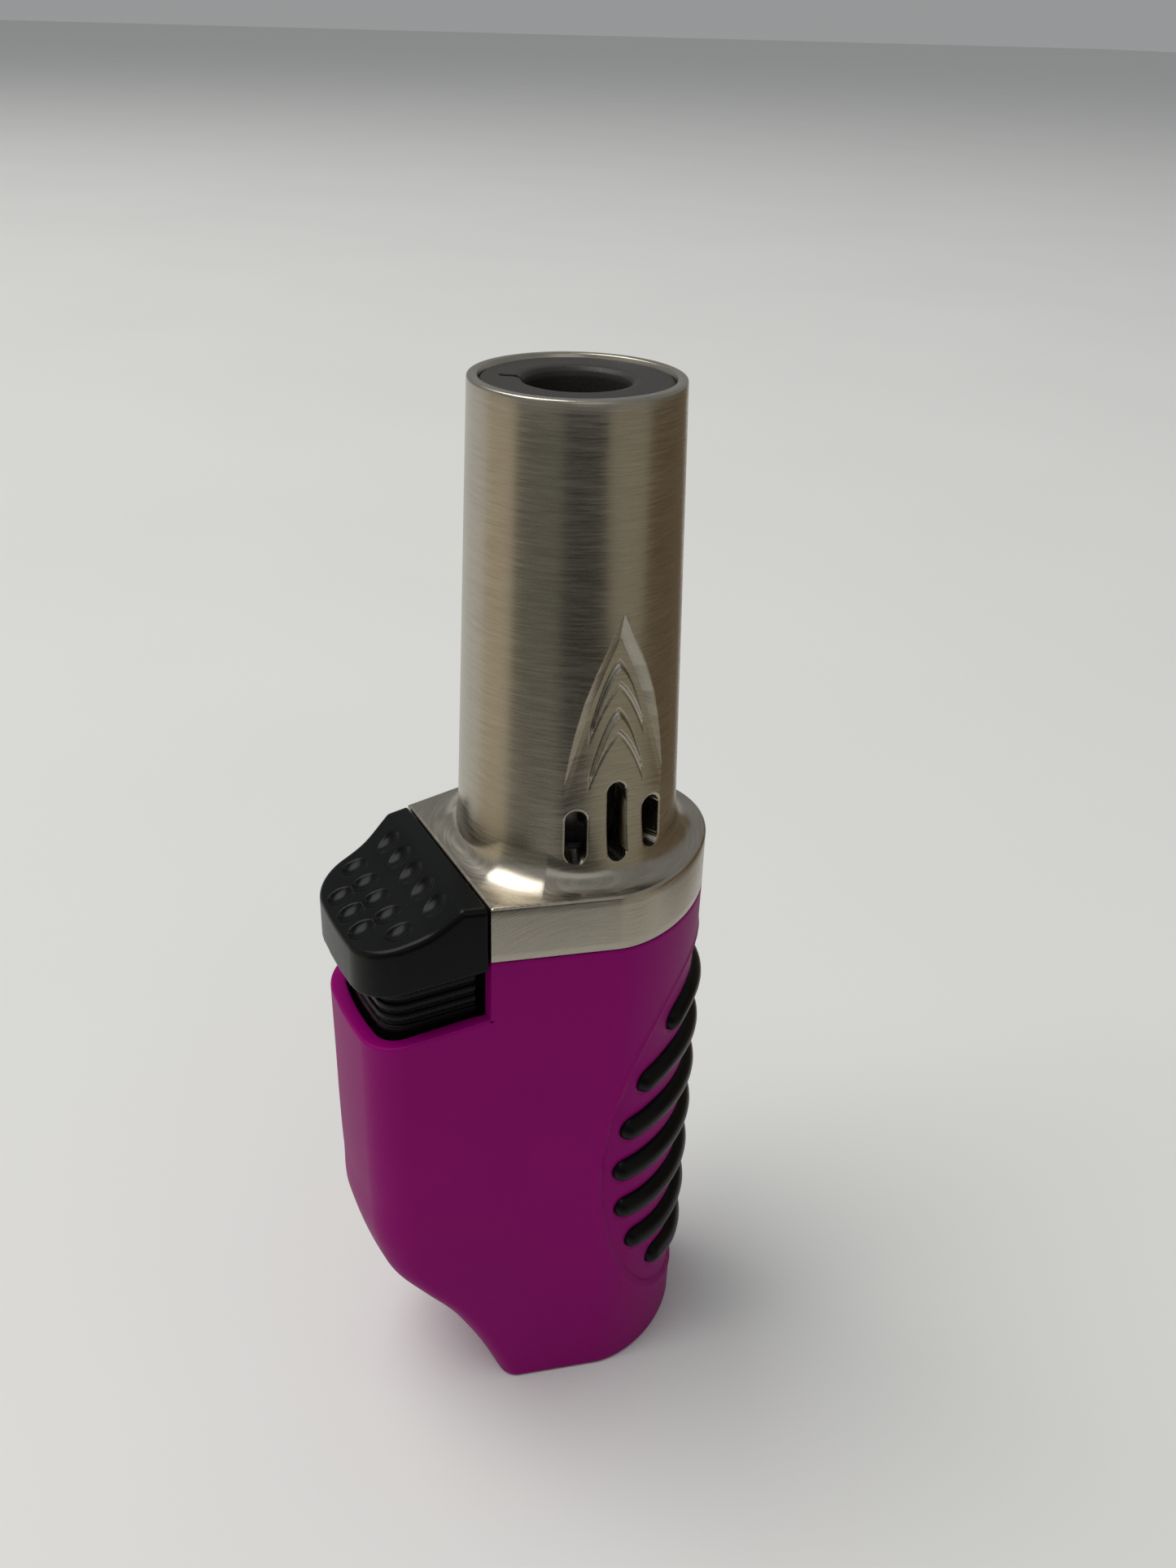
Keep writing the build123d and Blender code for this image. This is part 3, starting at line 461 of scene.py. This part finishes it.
NICKEL = brushed_nickel()
MAGENTA = magenta_body()
GUARD_METAL = dark_guard()
BUTTON_PLASTIC = moulded(
    "button_plastic", (0.002, 0.0025, 0.0025), (0.004, 0.0045, 0.0045), 0.22, 0.32, gloss=0.13
)
BLACK_PLASTIC = moulded("black_plastic", (0.02, 0.02, 0.022), (0.032, 0.032, 0.034), 0.42, 0.6)
RUBBER = moulded("grip_rubber", (0.002, 0.002, 0.0025), (0.005, 0.005, 0.0055), 0.26, 0.38, gloss=0.13)
MATERIALS = {
    "head_metal": NICKEL,
    "guard_metal": GUARD_METAL,
    "steel": turned_metal("bright_steel", (0.45, 0.45, 0.46), (0.62, 0.62, 0.63), 0.25, 0.4),
    "brass": turned_metal("machined_brass", (0.55, 0.4, 0.17), (0.75, 0.57, 0.27), 0.22, 0.38),
    "ceramic": moulded("glazed_ceramic", (0.7, 0.68, 0.63), (0.8, 0.78, 0.73), 0.2, 0.35, 0.000004),
    "button_plastic": BUTTON_PLASTIC,
    "black_plastic": BLACK_PLASTIC,
    "rubber": RUBBER,
    "tank_plastic": tank_plastic(),
    "body_paint": MAGENTA,
}

for part in frame["record"]["subparts"]:
    node = frame["nodes"][part["node"]]
    node.data.materials.clear()
    node.data.materials.append(MATERIALS[part["material_slot"]])

# --- Body ---------------------------------------------------------------------------------------------


def rim_height(y):
    """Height of the shell's top edge: level under the head, sloping down round the button's pocket."""
    return np.where(y > HEAD_BACK_Y - 0.01, RIM_Z - RIM_SLOPE * (y - HEAD_BACK_Y), RIM_Z)


def rib_end_y(z):
    """How far back a rib at a height reaches, on the ribs' oval."""
    part = np.clip(1 - ((z - GRIP_Z) / RIB_END_Z) ** 2, 0, 1)
    return GRIP_Y + RIB_END_Y * np.sqrt(part)


def rib_shift(level):
    """How far a rib's end leaves its level: the low ribs' ends rise and the top ones' drop."""
    return -RIB_FAN * (level - RIB_FAN_FROM)


def grip_relief(y, z):
    """Depth of the grip's oval recess at points of the side view, with a soft edge round each rib."""
    e = np.sqrt(((y - GRIP_Y) / GRIP_HALF_Y) ** 2 + ((z - GRIP_Z) / GRIP_HALF_Z) ** 2)
    steep = np.sqrt(((y - GRIP_Y) / GRIP_HALF_Y**2) ** 2 + ((z - GRIP_Z) / GRIP_HALF_Z**2) ** 2)
    slope = steep / np.maximum(e, TINY)
    inside = (1 - e) / np.maximum(slope, TINY)
    bead = BORDER_BEAD * smooth(-1.0, -0.45, inside) * smooth(0.1, -0.35, inside)
    depth = RECESS_DEPTH * smooth(0.0, 0.4, inside) - bead
    for level in RIB_LEVELS:
        end_y = rib_end_y(level)
        beyond = np.maximum(y - (end_y - RIB_END_R), 0.0)
        middle = level + rib_shift(level) * smooth(-RIB_FAN_LENGTH, 0.0, y - end_y)
        away = np.hypot(beyond, z - middle) - RIB_END_R
        depth = depth + RIB_MOAT * smooth(0.7, 0.05, away) * (inside > 0)
    return depth


def body_rows(levels, inset=0.0, relief=False):
    """Grid of outline points at some heights."""
    rows = []
    for z in levels:
        loop = body_loop(z, inset)
        if relief:
            loop = loop - outward(loop) * grip_relief(loop[:, 1], np.full(len(loop), z))[:, None]
        rows.append(np.column_stack([loop, np.full(len(loop), z)]))
    return np.array(rows)


def lift_rows(base_z, tops, shares, inset=0.0):
    """Rows above base_z whose columns each rise to their own top height."""
    low, high = body_loop(base_z, inset), body_loop(BODY_TOP, inset)
    rows = []
    for share in shares:
        z = base_z + (tops - base_z) * share
        t = ((z - base_z) / (BODY_TOP - base_z))[:, None]
        rows.append(np.column_stack([low * (1 - t) + high * t, z]))
    return np.array(rows)


def wall_rows(tops, shares, widen, less=0.0):
    """Rows of the inner skin, which is thicker round the pocket by the share in widen."""
    thin = lift_rows(RIM_BASE_Z, tops, shares, SHELL_WALL - less)
    thick = lift_rows(RIM_BASE_Z, tops, shares, RIM_WALL - less)
    return thin * (1 - widen) + thick * widen


def make_body():
    """The moulded shell: outer and inner skins, a rounded rim and the step up to the head."""
    skin = Skin()
    columns = np.arange(LOOP_COUNT)
    ends = (SPLIT_INDEX, LOOP_COUNT - SPLIT_INDEX)
    behind = (columns >= ends[0]) & (columns <= ends[1])
    front = np.concatenate([np.arange(ends[1], LOOP_COUNT), np.arange(0, ends[0] + 1)])
    top_y = body_loop(70.0)[:, 1]
    tops = np.where(behind, rim_height(np.maximum(top_y, HEAD_BACK_Y)), RIM_Z)
    rim_tops = tops - np.where(behind, RIM_EDGE, 0.0)

    # Foot with a rounded edge, then both walls up to the rim's base.
    foot = [body_rows([0.0], 0.5), body_rows([0.06], 0.25), body_rows([0.25], 0.07)]
    outer = np.concatenate([*foot, body_rows(np.linspace(0.5, RIM_BASE_Z, 176), 0.0, relief=True)])
    outer_rows = skin.add(outer)
    skin.weave(outer_rows, wrap=True)
    inner_rows = skin.add(body_rows([0.0, 0.4, *np.linspace(4.0, RIM_BASE_Z, 16)], SHELL_WALL))
    skin.weave(inner_rows, wrap=True)
    skin.weave(np.stack([outer_rows[0], inner_rows[0]]), wrap=True)

    # Both walls from there to the rim.
    rising = np.linspace(0, 1, 12)
    rise = lift_rows(RIM_BASE_Z, rim_tops, rising)
    y, z = rise[:, :, 1], rise[:, :, 2]
    for k in range(len(rise)):
        rise[k, :, :2] -= outward(rise[k, :, :2]) * grip_relief(y[k], z[k])[:, None]
    outer_lift = skin.add(rise)
    from_end = np.minimum(np.abs(columns - ends[0]), np.abs(ends[1] - columns))
    widen = np.where(behind, smooth(0, 5, from_end), 0.0)[None, :, None]
    inner_lift = skin.add(wall_rows(rim_tops, rising, smooth(0.0, 0.5, rising)[:, None, None] * widen))
    skin.weave(outer_lift, wrap=True)
    skin.weave(inner_lift, wrap=True)

    # Rounded rim round the pocket.
    back = columns[behind]
    rim = [outer_lift[-1][back]]
    turn = np.linspace(0, math.pi / 2, 5)
    for angle in turn[1:]:
        inset, up = RIM_EDGE * (1 - math.cos(angle)), RIM_EDGE * math.sin(angle)
        rim.append(skin.add(lift_rows(RIM_BASE_Z, rim_tops + up, [1.0], inset))[0][back])
    for angle in turn[::-1]:
        inset, up = RIM_EDGE * (1 - math.cos(angle)), RIM_EDGE * math.sin(angle)
        rim.append(skin.add(wall_rows(rim_tops + up, [1.0], widen, inset))[0][back])
    skin.weave(np.array(rim))

    # The front goes on up to the head and ends in a lip.
    lip_z = BODY_TOP - LIP_EDGE
    levels = np.linspace(RIM_Z, lip_z, 26)
    outer_top = skin.add(body_rows(levels, 0.0, relief=True))
    inner_top = skin.add(body_rows(levels, SHELL_WALL))
    skin.weave(outer_top[:, front])
    skin.weave(inner_top[:, front])
    lip = [outer_top[-1][front]]
    for inset, up in ((0.07, 0.18), (0.25, LIP_EDGE), (SHELL_WALL - 0.05, LIP_EDGE), (SHELL_WALL, 0.0)):
        lip.append(skin.add(body_rows([lip_z + up], inset))[0][front])
    skin.weave(np.array(lip))
    for end in ends:
        skin.weave(np.stack([outer_top[:, end], inner_top[:, end]], 1))
    piece = skin.build("moulded_body", weld=0.02)
    shade(piece, 35.0)
    finish_piece(piece, "root", MAGENTA, "body_paint", "body_shell")


def point_at(outline, along, place):
    """The point of an outline at a distance along it."""
    return np.array([float(np.interp(place, along, outline[:, k])) for k in (0, 1)])


def make_ribs():
    """Rubber ribs with round ends that fan out a little."""
    skin = Skin()
    around = np.linspace(0, 2 * math.pi, 28, endpoint=False)
    step, middle_zone = 0.2, 0.3
    for level in RIB_LEVELS:
        half = body_half(level)
        along = np.concatenate([[0.0], np.cumsum(np.linalg.norm(np.diff(half, axis=0), axis=1))])
        side = slice(0, SPLIT_INDEX + 1)
        reach = float(np.interp(float(rib_end_y(level)), half[side, 1], along[side])) + RIB_OVERREACH
        rows = []
        for s in reach * np.sin(np.linspace(-math.pi / 2, math.pi / 2, 121)):
            x, y = point_at(half, along, abs(s))
            way = point_at(half, along, abs(s) + step) - point_at(half, along, max(abs(s) - step, 0.0))
            normal = np.array([way[1], -way[0]]) / np.linalg.norm(way)
            if abs(s) < middle_zone:
                normal = np.array([0.0, -1.0])
            if s < 0:
                x, normal = -x, normal * [-1, 1]
            left = reach - abs(s)
            fade = math.sqrt(max(1 - (max(RIB_END_R - left, 0.0) / RIB_END_R) ** 2, 0.0))
            radius = lerp(RIB_END_R, RIB_R, float(smooth(0, RIB_TAPER_LENGTH, left))) * fade
            middle = level + rib_shift(level) * float(smooth(RIB_FAN_LENGTH, 0.0, left))
            out = RIB_PROUD - RIB_R + radius * np.cos(around)
            up = middle + radius * np.sin(around)
            rows.append(np.stack([x + normal[0] * out, y + normal[1] * out, up], 1))
        skin.weave(skin.add(np.array(rows)), wrap=True)
    piece = skin.build("grip_ribs", weld=0.003)
    shade(piece, 60.0)
    finish_piece(piece, "root", RUBBER, "rubber", "finger_grip")


# --- Head ---------------------------------------------------------------------------------------------

ARCH_APEX_Z = 117.0
# Half width of the pointed arch at heights from its foot to its apex.
ARCH_HALF = [
    (84.0, 7.6),
    (92.0, 7.2),
    (99.5, 6.0),
    (103.0, 5.3),
    (106.5, 4.4),
    (110.0, 3.1),
    (113.0, 1.7),
    (ARCH_APEX_Z, 0.0),
]
# The arch's floor: a leaning round face, and how its wall rises from it.
FACET_X, FACET_Z, FACET_SLOPE, FACET_R, FACET_REACH = 12.25, 112.0, 0.0419, 21.0, 12.0
ARCH_WALL_SLOPE, ARCH_WALL_EASE, ARCH_WALL_SOFT = 0.75, 0.92, 0.08
CREST_RISE, CREST_WIDTH = 0.18, 2.4
# Air slots: angle from the middle of the side, width, height and the height of the middle.
SLOTS = [(0.0, 2.5, 10.2, 90.4), (-22.0, 2.7, 6.9, 89.0), (22.0, 2.7, 6.9, 89.0)]
SLOT_DISH = 0.16
SLOT_CUT_FROM, SLOT_CUT_TO = 8.5, 18.0
CHEVRON_APEXES = (104.3, 110.2)
CHEVRON_GROOVE = 0.09
CHEVRON_RAISE, CHEVRON_DROP, CHEVRON_HALF, CHEVRON_THICK, CHEVRON_BULGE = 0.36, 7.2, 3.4, 2.0, 0.55
CHEVRON_TIP, CHEVRON_UPPER_BOW, CHEVRON_LOWER_BOW = 0.3, 2.2, 1.3
# Flange and tube: edge radii, wall, the fillet at the tube's foot and the dense part of the skin.
HEAD_WALL, HEAD_EDGE, HEAD_LIP = 1.6, 0.45, 0.25
MOUTH_EDGE, MOUTH_BEVEL = 0.3, 0.12
FILLET_R, FILLET_GAP, FILLET_BLEND = 4.2, 0.1, 8.0
DENSE_FROM, DENSE_TOP, DENSE_STEP, COARSE_TOP, COARSE_STEP = 2.8, 118.5, 0.11, 134, 0.5
ARCH_REACH, DENSE_TURN = 36.0, 0.4
BORE_END_Z = 100.0


def tube_radius(z):
    """Radius of the plain tapered tube at a height."""
    return lerp(TUBE_BASE_R, TUBE_TOP_R, (z - FLANGE_TOP) / (HEIGHT - FLANGE_TOP))


def chevron_height(y, z, apex):
    """Height of one raised chevron over the facet."""
    tip = apex - CHEVRON_DROP
    share = np.clip(np.abs(y) / CHEVRON_HALF, 0, 1.2)
    bulge = 4 * share * (1 - share)
    upper = lerp(apex, tip, share) + (CHEVRON_BULGE * CHEVRON_UPPER_BOW) * bulge
    foot = lerp(apex - CHEVRON_THICK, tip - CHEVRON_TIP, share)
    lower = foot + (CHEVRON_BULGE * CHEVRON_LOWER_BOW) * bulge
    steep = math.cos(math.atan2(CHEVRON_DROP, CHEVRON_HALF))
    inside = np.minimum(upper - z, z - lower) * steep
    inside = np.minimum(inside, CHEVRON_HALF - np.abs(y))
    groove = CHEVRON_GROOVE * smooth(-0.42, -0.26, inside) * smooth(-0.08, -0.2, inside)
    return CHEVRON_RAISE * smooth(-0.1, 0.14, inside) - groove


def arch_radius(angle, z):
    """Radius of the tube at an angle from the middle of its broad side, with the arch sunk in."""
    round_r = tube_radius(z)
    y = round_r * np.sin(angle)
    heights, halves = np.array(ARCH_HALF).T
    half = np.interp(z, heights, halves)
    past = np.abs(y) - half
    beside = CREST_RISE * np.exp(-np.maximum(past, 0) / CREST_WIDTH)
    ridge = beside * smooth(88, 108, z) * smooth(134, ARCH_APEX_Z, z)
    sag = FACET_R - np.sqrt(FACET_R**2 - np.minimum(y * y, FACET_REACH**2))
    facet = (FACET_X + FACET_SLOPE * (FACET_Z - z) - sag) / np.cos(angle)
    full = np.maximum(round_r + ridge - facet, 0.0) * smooth(84.5, 91.0, z)
    wall = np.maximum(-past, 0) * ARCH_WALL_EASE * ARCH_WALL_SLOPE
    depth = np.where(z < ARCH_APEX_Z, np.minimum(full, wall), 0.0)
    soft = ARCH_WALL_SOFT * smooth(0.35, 0.0, np.abs(full - wall)) * 0.5
    depth = np.where(depth > 0, depth - soft, 0.0)
    radius = round_r + ridge - np.maximum(depth, 0.0)
    for apex in CHEVRON_APEXES:
        radius = radius + chevron_height(y, z, apex)
    for turn, width, height, middle in SLOTS:
        sideways = round_r * np.sin(angle - math.radians(turn))
        along = np.maximum(np.abs(z - middle) - 0.5 * (height - width), 0.0)
        away = np.hypot(sideways, along) - 0.5 * width
        radius = radius - SLOT_DISH * smooth(0.28, -0.05, away)
    return radius


def head_outline(inset=0.0):
    """The flange's outline as (angle, radius) about the burner axis, all round."""
    side_x, nose_y, flat_y = SIDE_TOP - inset, NOSE_TOP + inset, HEAD_BACK_Y - inset
    corner_x = side_x - SIDE_TAPER * (flat_y - SIDE_Y)
    nose = nose_curve(side_x, nose_y, inset, 200)
    corner = (corner_x, flat_y)
    half = np.concatenate([nose, line(nose[-1], corner, 120)[1:], line(corner, (0, flat_y), 80)[1:]])
    return np.arctan2(half[:, 1], half[:, 0]), np.linalg.norm(half, axis=1)


def head_angles():
    """Column angles: fine over the two arches, and one on each corner of the flange."""
    corner_x = SIDE_TOP - SIDE_TAPER * (HEAD_BACK_Y - SIDE_Y)
    corner = math.degrees(math.atan2(HEAD_BACK_Y, corner_x))
    right = np.concatenate(
        [
            np.arange(-90, -ARCH_REACH, 2.0),
            np.arange(-ARCH_REACH, ARCH_REACH + 0.01, DENSE_TURN),
            np.linspace(ARCH_REACH + 1.5, corner - DENSE_TURN, 8),
            [corner, corner + DENSE_TURN],
            np.linspace(52.0, 90.0, 20),
        ]
    )
    left = 180.0 - right[::-1][1:-1]
    return np.radians(np.concatenate([right, left]))


def make_head():
    """Flange and tube in one dense skin: fillet, arches, chevrons, slots and the bore."""
    angles = head_angles()
    to_right = np.where(np.cos(angles) >= 0, angles, math.pi - angles)
    outer, cavity = (np.interp(to_right, *head_outline(inset)) for inset in (0.0, HEAD_WALL))
    from_side = np.where(np.cos(angles) >= 0, angles, angles - math.pi)
    on_side = np.abs(np.cos(angles)) > math.cos(math.radians(ARCH_REACH + 1))
    ones = np.ones(len(angles))
    rows = []

    def row(radius, z):
        """Adds one row, of a radius and a height that may differ from column to column."""
        radius = radius * ones
        rows.append(np.stack([radius * np.cos(angles), radius * np.sin(angles), z * ones], 1))

    # Inside of the flange, its lower edge, side and upper edge.
    ceiling = FLANGE_TOP - HEAD_WALL
    row(LOWER_BORE_R, ceiling)
    row(cavity, ceiling)
    row(cavity, BODY_TOP)
    row(outer - HEAD_LIP, BODY_TOP)
    row(outer - 0.07, BODY_TOP + 0.07)
    for z in np.linspace(BODY_TOP + HEAD_LIP, FLANGE_TOP - HEAD_EDGE, 8):
        row(outer, z)
    for turn in np.linspace(0, math.pi / 2, 6)[1:]:
        row(outer - HEAD_EDGE * (1 - math.cos(turn)), FLANGE_TOP - HEAD_EDGE * (1 - math.sin(turn)))

    # Top of the flange and the fillet up to the tube.
    fillet = np.minimum(FILLET_R, outer - TUBE_BASE_R - HEAD_EDGE - FILLET_GAP)
    foot_r = tube_radius(FLANGE_TOP) + fillet
    for share in (0.35, 0.7):
        row(lerp(outer - HEAD_EDGE, foot_r, share), FLANGE_TOP)
    for turn in np.linspace(0, math.pi / 2, 12):
        z = FLANGE_TOP + fillet * (1 - math.cos(turn))
        taper = (tube_radius(FLANGE_TOP) - tube_radius(z)) * math.sin(turn)
        row(foot_r - fillet * math.sin(turn) - taper, z)

    # The tube. Its low rows start from the fillet's top, which isn't level.
    start, first = FLANGE_TOP + fillet, FLANGE_TOP + DENSE_FROM
    dense = np.arange(first + 0.15, DENSE_TOP, DENSE_STEP)
    coarse = np.arange(DENSE_TOP, COARSE_TOP, COARSE_STEP)
    for level in np.concatenate([dense, coarse, np.linspace(COARSE_TOP, HEIGHT - 0.35, 6)]):
        z = level + (start - first) * max(0.0, 1 - (level - first) / FILLET_BLEND)
        row(np.where(on_side, arch_radius(from_side, z), tube_radius(z) * ones), z)

    # The mouth and the bore.
    for turn in np.linspace(0, math.pi / 2, 5)[1:]:
        row(TUBE_TOP_R - MOUTH_EDGE * (1 - math.cos(turn)), HEIGHT - MOUTH_EDGE * (1 - math.sin(turn)))
    bore_r = TUBE_TOP_R - TUBE_WALL
    row(bore_r + MOUTH_BEVEL, HEIGHT)
    row(bore_r, HEIGHT - MOUTH_BEVEL)
    row(bore_r, GUARD_SEAT_Z)
    row(LOWER_BORE_R, GUARD_SEAT_Z)
    row(LOWER_BORE_R, BORE_END_Z)

    skin = Skin()
    index = skin.add(np.array(rows))
    skin.weave(index, wrap=True)
    skin.weave(np.stack([index[-1], index[0]]), wrap=True)
    piece = skin.build("torch_head", weld=0.002)
    cut_slots(piece)
    shade(piece, 65.0)
    finish_piece(piece, "root", NICKEL, "head_metal", "head_shell")


def cut_slots(piece):
    """Cuts the air slots through the wall on both broad sides."""
    skin = Skin()
    round_end = np.linspace(0, math.pi, 15)
    for side in (0.0, 180.0):
        for turn, width, height, middle in SLOTS:
            r = 0.5 * width
            lift = 0.5 * (height - width)
            upper = np.stack([r * np.cos(round_end), middle + lift + r * np.sin(round_end)], 1)
            lower = np.stack([-r * np.cos(round_end), middle - lift - r * np.sin(round_end)], 1)
            ring = np.concatenate([upper, lower])
            angle = math.radians(side + turn)
            out = np.array([math.cos(angle), math.sin(angle)])
            across = np.array([-math.sin(angle), math.cos(angle)])
            grid = []
            for depth in (SLOT_CUT_FROM, SLOT_CUT_TO):
                flat = out * depth + across * ring[:, :1]
                grid.append(np.column_stack([flat, ring[:, 1]]))
            index = skin.add(np.array(grid))
            skin.weave(index, wrap=True)
            skin.cap(index[0])
            skin.cap(index[1])
    cutter = skin.build("slot_cutter", weld=1e-4)
    cut = piece.modifiers.new("slots", "BOOLEAN")
    cut.operation, cut.object, cut.solver = "DIFFERENCE", cutter, "EXACT"
    apply_modifiers(piece)
    bpy.data.objects.remove(cutter)


def apply_modifiers(piece):
    """Writes what the modifiers make into the mesh."""
    graph = bpy.context.evaluated_depsgraph_get()
    made = bpy.data.meshes.new_from_object(piece.evaluated_get(graph))
    piece.modifiers.clear()
    piece.data = made


# --- Button -------------------------------------------------------------------------------------------


def softened(node, name, body, material, slot, voxel, rounds):
    """A CAD node's shape with soft edges, by a remesh of a voxel in millimetres and rounds of smoothing."""
    piece = bpy.data.objects.new(name, frame["nodes"][node].data.copy())
    bpy.context.scene.collection.objects.link(piece)
    remesh = piece.modifiers.new("remesh", "REMESH")
    remesh.mode, remesh.voxel_size = "VOXEL", voxel * MM
    relax = piece.modifiers.new("relax", "SMOOTH")
    relax.factor, relax.iterations = 0.5, rounds
    apply_modifiers(piece)
    piece.data.shade_smooth()
    finish_piece(piece, body, material, slot, node)


# --- Studio -------------------------------------------------------------------------------------------

CAMERA_PLACE = (-140.70, 71.34, 174.56)
CAMERA_AIM = (0.77737, -0.41045, -0.47669)
CAMERA_ROLL = 1.89
LENS, SENSOR = 32.525, 36.0
FLOOR_HALF, VIEW_END = 14.0, 60.0


def make_view():
    """Plain colour output without a film look."""
    bpy.context.scene.view_settings.view_transform = "Standard"


def make_camera():
    """The camera at the photograph's angle: its place in millimetres and its aim about the burner axis."""
    camera = bpy.data.objects.new("camera", bpy.data.cameras.new("camera"))
    bpy.context.scene.collection.objects.link(camera)
    camera.data.sensor_width = SENSOR
    camera.data.lens = LENS
    camera.data.clip_start, camera.data.clip_end = 0.01, VIEW_END
    aim = Vector(CAMERA_AIM).normalized()
    right = aim.cross(Vector((0, 0, 1))).normalized()
    up = right.cross(aim)
    roll = math.radians(CAMERA_ROLL)
    rolled_right = right * math.cos(roll) + up * math.sin(roll)
    rolled_up = up * math.cos(roll) - right * math.sin(roll)
    turn = Matrix((rolled_right, rolled_up, -aim)).transposed().to_4x4()
    place = (Vector(CAMERA_PLACE) + Vector(SHIFT)) * MM
    camera.matrix_world = Matrix.Translation(place) @ turn
    bpy.context.scene.camera = camera


def area_light(name, place, target, size, power, color):
    """A soft rectangular light, in metres and watts, turned to a target."""
    light = bpy.data.objects.new(name, bpy.data.lights.new(name, "AREA"))
    light.data.shape = "RECTANGLE"
    light.data.size, light.data.size_y = size
    light.data.energy = power
    light.data.color = color
    bpy.context.scene.collection.objects.link(light)
    light.location = place
    light.rotation_euler = (Vector(target) - Vector(place)).to_track_quat("-Z", "Y").to_euler()


def stage_material(name, color, roughness, glow=None):
    """A surface of the studio, plain or, for a card that paints reflections, dark and glowing in its
    colour.
    """
    paint = Paint(name, color, roughness)
    surface = color if glow is None else (0.02, 0.02, 0.02)
    grain = paint.noise(paint.stretched(6.0, 6.0, 6.0), detail=2.0)
    paint.tint(grain, tuple(0.97 * c for c in surface), tuple(min(1.0, 1.03 * c) for c in surface))
    # A card's glow is a painted reflection: it lights nothing and shows only in glossy surfaces.
    if glow is not None:
        paint.shader.inputs["Emission Color"].default_value = (*color, 1.0)
        paint.shader.inputs["Emission Strength"].default_value = glow
    return paint.material


def flat_piece(name, corners, material):
    """A four-cornered sheet that belongs to the studio."""
    mesh = bpy.data.meshes.new(name)
    mesh.from_pydata(corners, [], [[0, 1, 2, 3]])
    piece = bpy.data.objects.new(name, mesh)
    bpy.context.scene.collection.objects.link(piece)
    mesh.materials.append(material)
    return piece


# Glowing cards that paint reflections on the polished head, set round the torch by the camera's direction:
# name, first and last degree from the camera's side, colour and glow.
PAINTED_REFLECTIONS = [
    ("painted_reflection_warm", -100.0, -60.0, (1.0, 0.88, 0.68), 0.6),
    ("painted_reflection_grey", -60.0, -8.0, (0.95, 0.95, 0.8), 0.17),
    ("painted_reflection_dark", -8.0, 35.0, (0.9, 0.86, 0.76), 0.04),
    ("painted_reflection_beige", 35.0, 80.0, (1.0, 0.92, 0.72), 0.33),
    ("painted_reflection_brown", 80.0, 150.0, (1.0, 0.7, 0.38), 0.14),
]
CARD_REACH, CARD_FOOT, CARD_TOP = 0.14, 0.0005, 0.13


def painted_reflection_card(name, first, last, color, glow):
    """An upright glowing card round the torch, seen only in reflections: a painted reflection, not a lamp.
    """
    half_width = CARD_REACH * math.tan(math.radians(0.5 * (last - first)))
    toward = math.atan2(-CAMERA_AIM[1], -CAMERA_AIM[0]) + math.radians(0.5 * (first + last))
    out = Vector((math.cos(toward), math.sin(toward), 0))
    side = Vector((-out.y, out.x, 0)) * half_width
    middle = out * CARD_REACH
    low, high = Vector((0, 0, CARD_FOOT)), Vector((0, 0, CARD_TOP))
    corners = [middle - side + low, middle + side + low, middle + side + high, middle - side + high]
    card = flat_piece(name, corners, stage_material(name, color, 0.8, glow))
    # Hidden from camera, diffuse light and shadow, so the card only paints reflections on the head.
    card.visible_camera = False
    card.visible_diffuse = False
    card.visible_shadow = False
    card.visible_transmission = False


def make_studio():
    """Pale floor, even sky, a large key light, a weak fill and the glowing cards that paint reflections."""
    low, high = -FLOOR_HALF, FLOOR_HALF
    corners = [(low, low, 0), (high, low, 0), (high, high, 0), (low, high, 0)]
    flat_piece("floor", corners, stage_material("pale_floor", (0.78, 0.785, 0.77), 0.6))
    world = bpy.data.worlds.new("studio")
    bpy.context.scene.world = world
    world.use_nodes = True
    background = world.node_tree.nodes["Background"]
    background.inputs["Color"].default_value = (0.9, 0.92, 0.93, 1.0)
    background.inputs["Strength"].default_value = 0.34
    torch_middle = (0, 0, 0.05)
    area_light("key", (0.6, 1.1, 2.6), torch_middle, (2.3, 2.0), 60.0, (1.0, 0.98, 0.95))
    area_light("fill", (-0.9, 0.2, 0.5), torch_middle, (0.6, 0.6), 0.5, (0.95, 0.98, 1.0))
    for card in PAINTED_REFLECTIONS:
        painted_reflection_card(*card)


make_camera()
make_view()
make_studio()
make_body()
make_ribs()
make_head()
softened("thumb_button", "thumb_cap", "button", BUTTON_PLASTIC, "button_plastic", 0.13, 3)
softened("button_skirt", "skirt_sleeve", "button", BUTTON_PLASTIC, "button_plastic", 0.15, 2)
softened("nozzle_guard", "burner_guard", "root", GUARD_METAL, "guard_metal", 0.12, 3)
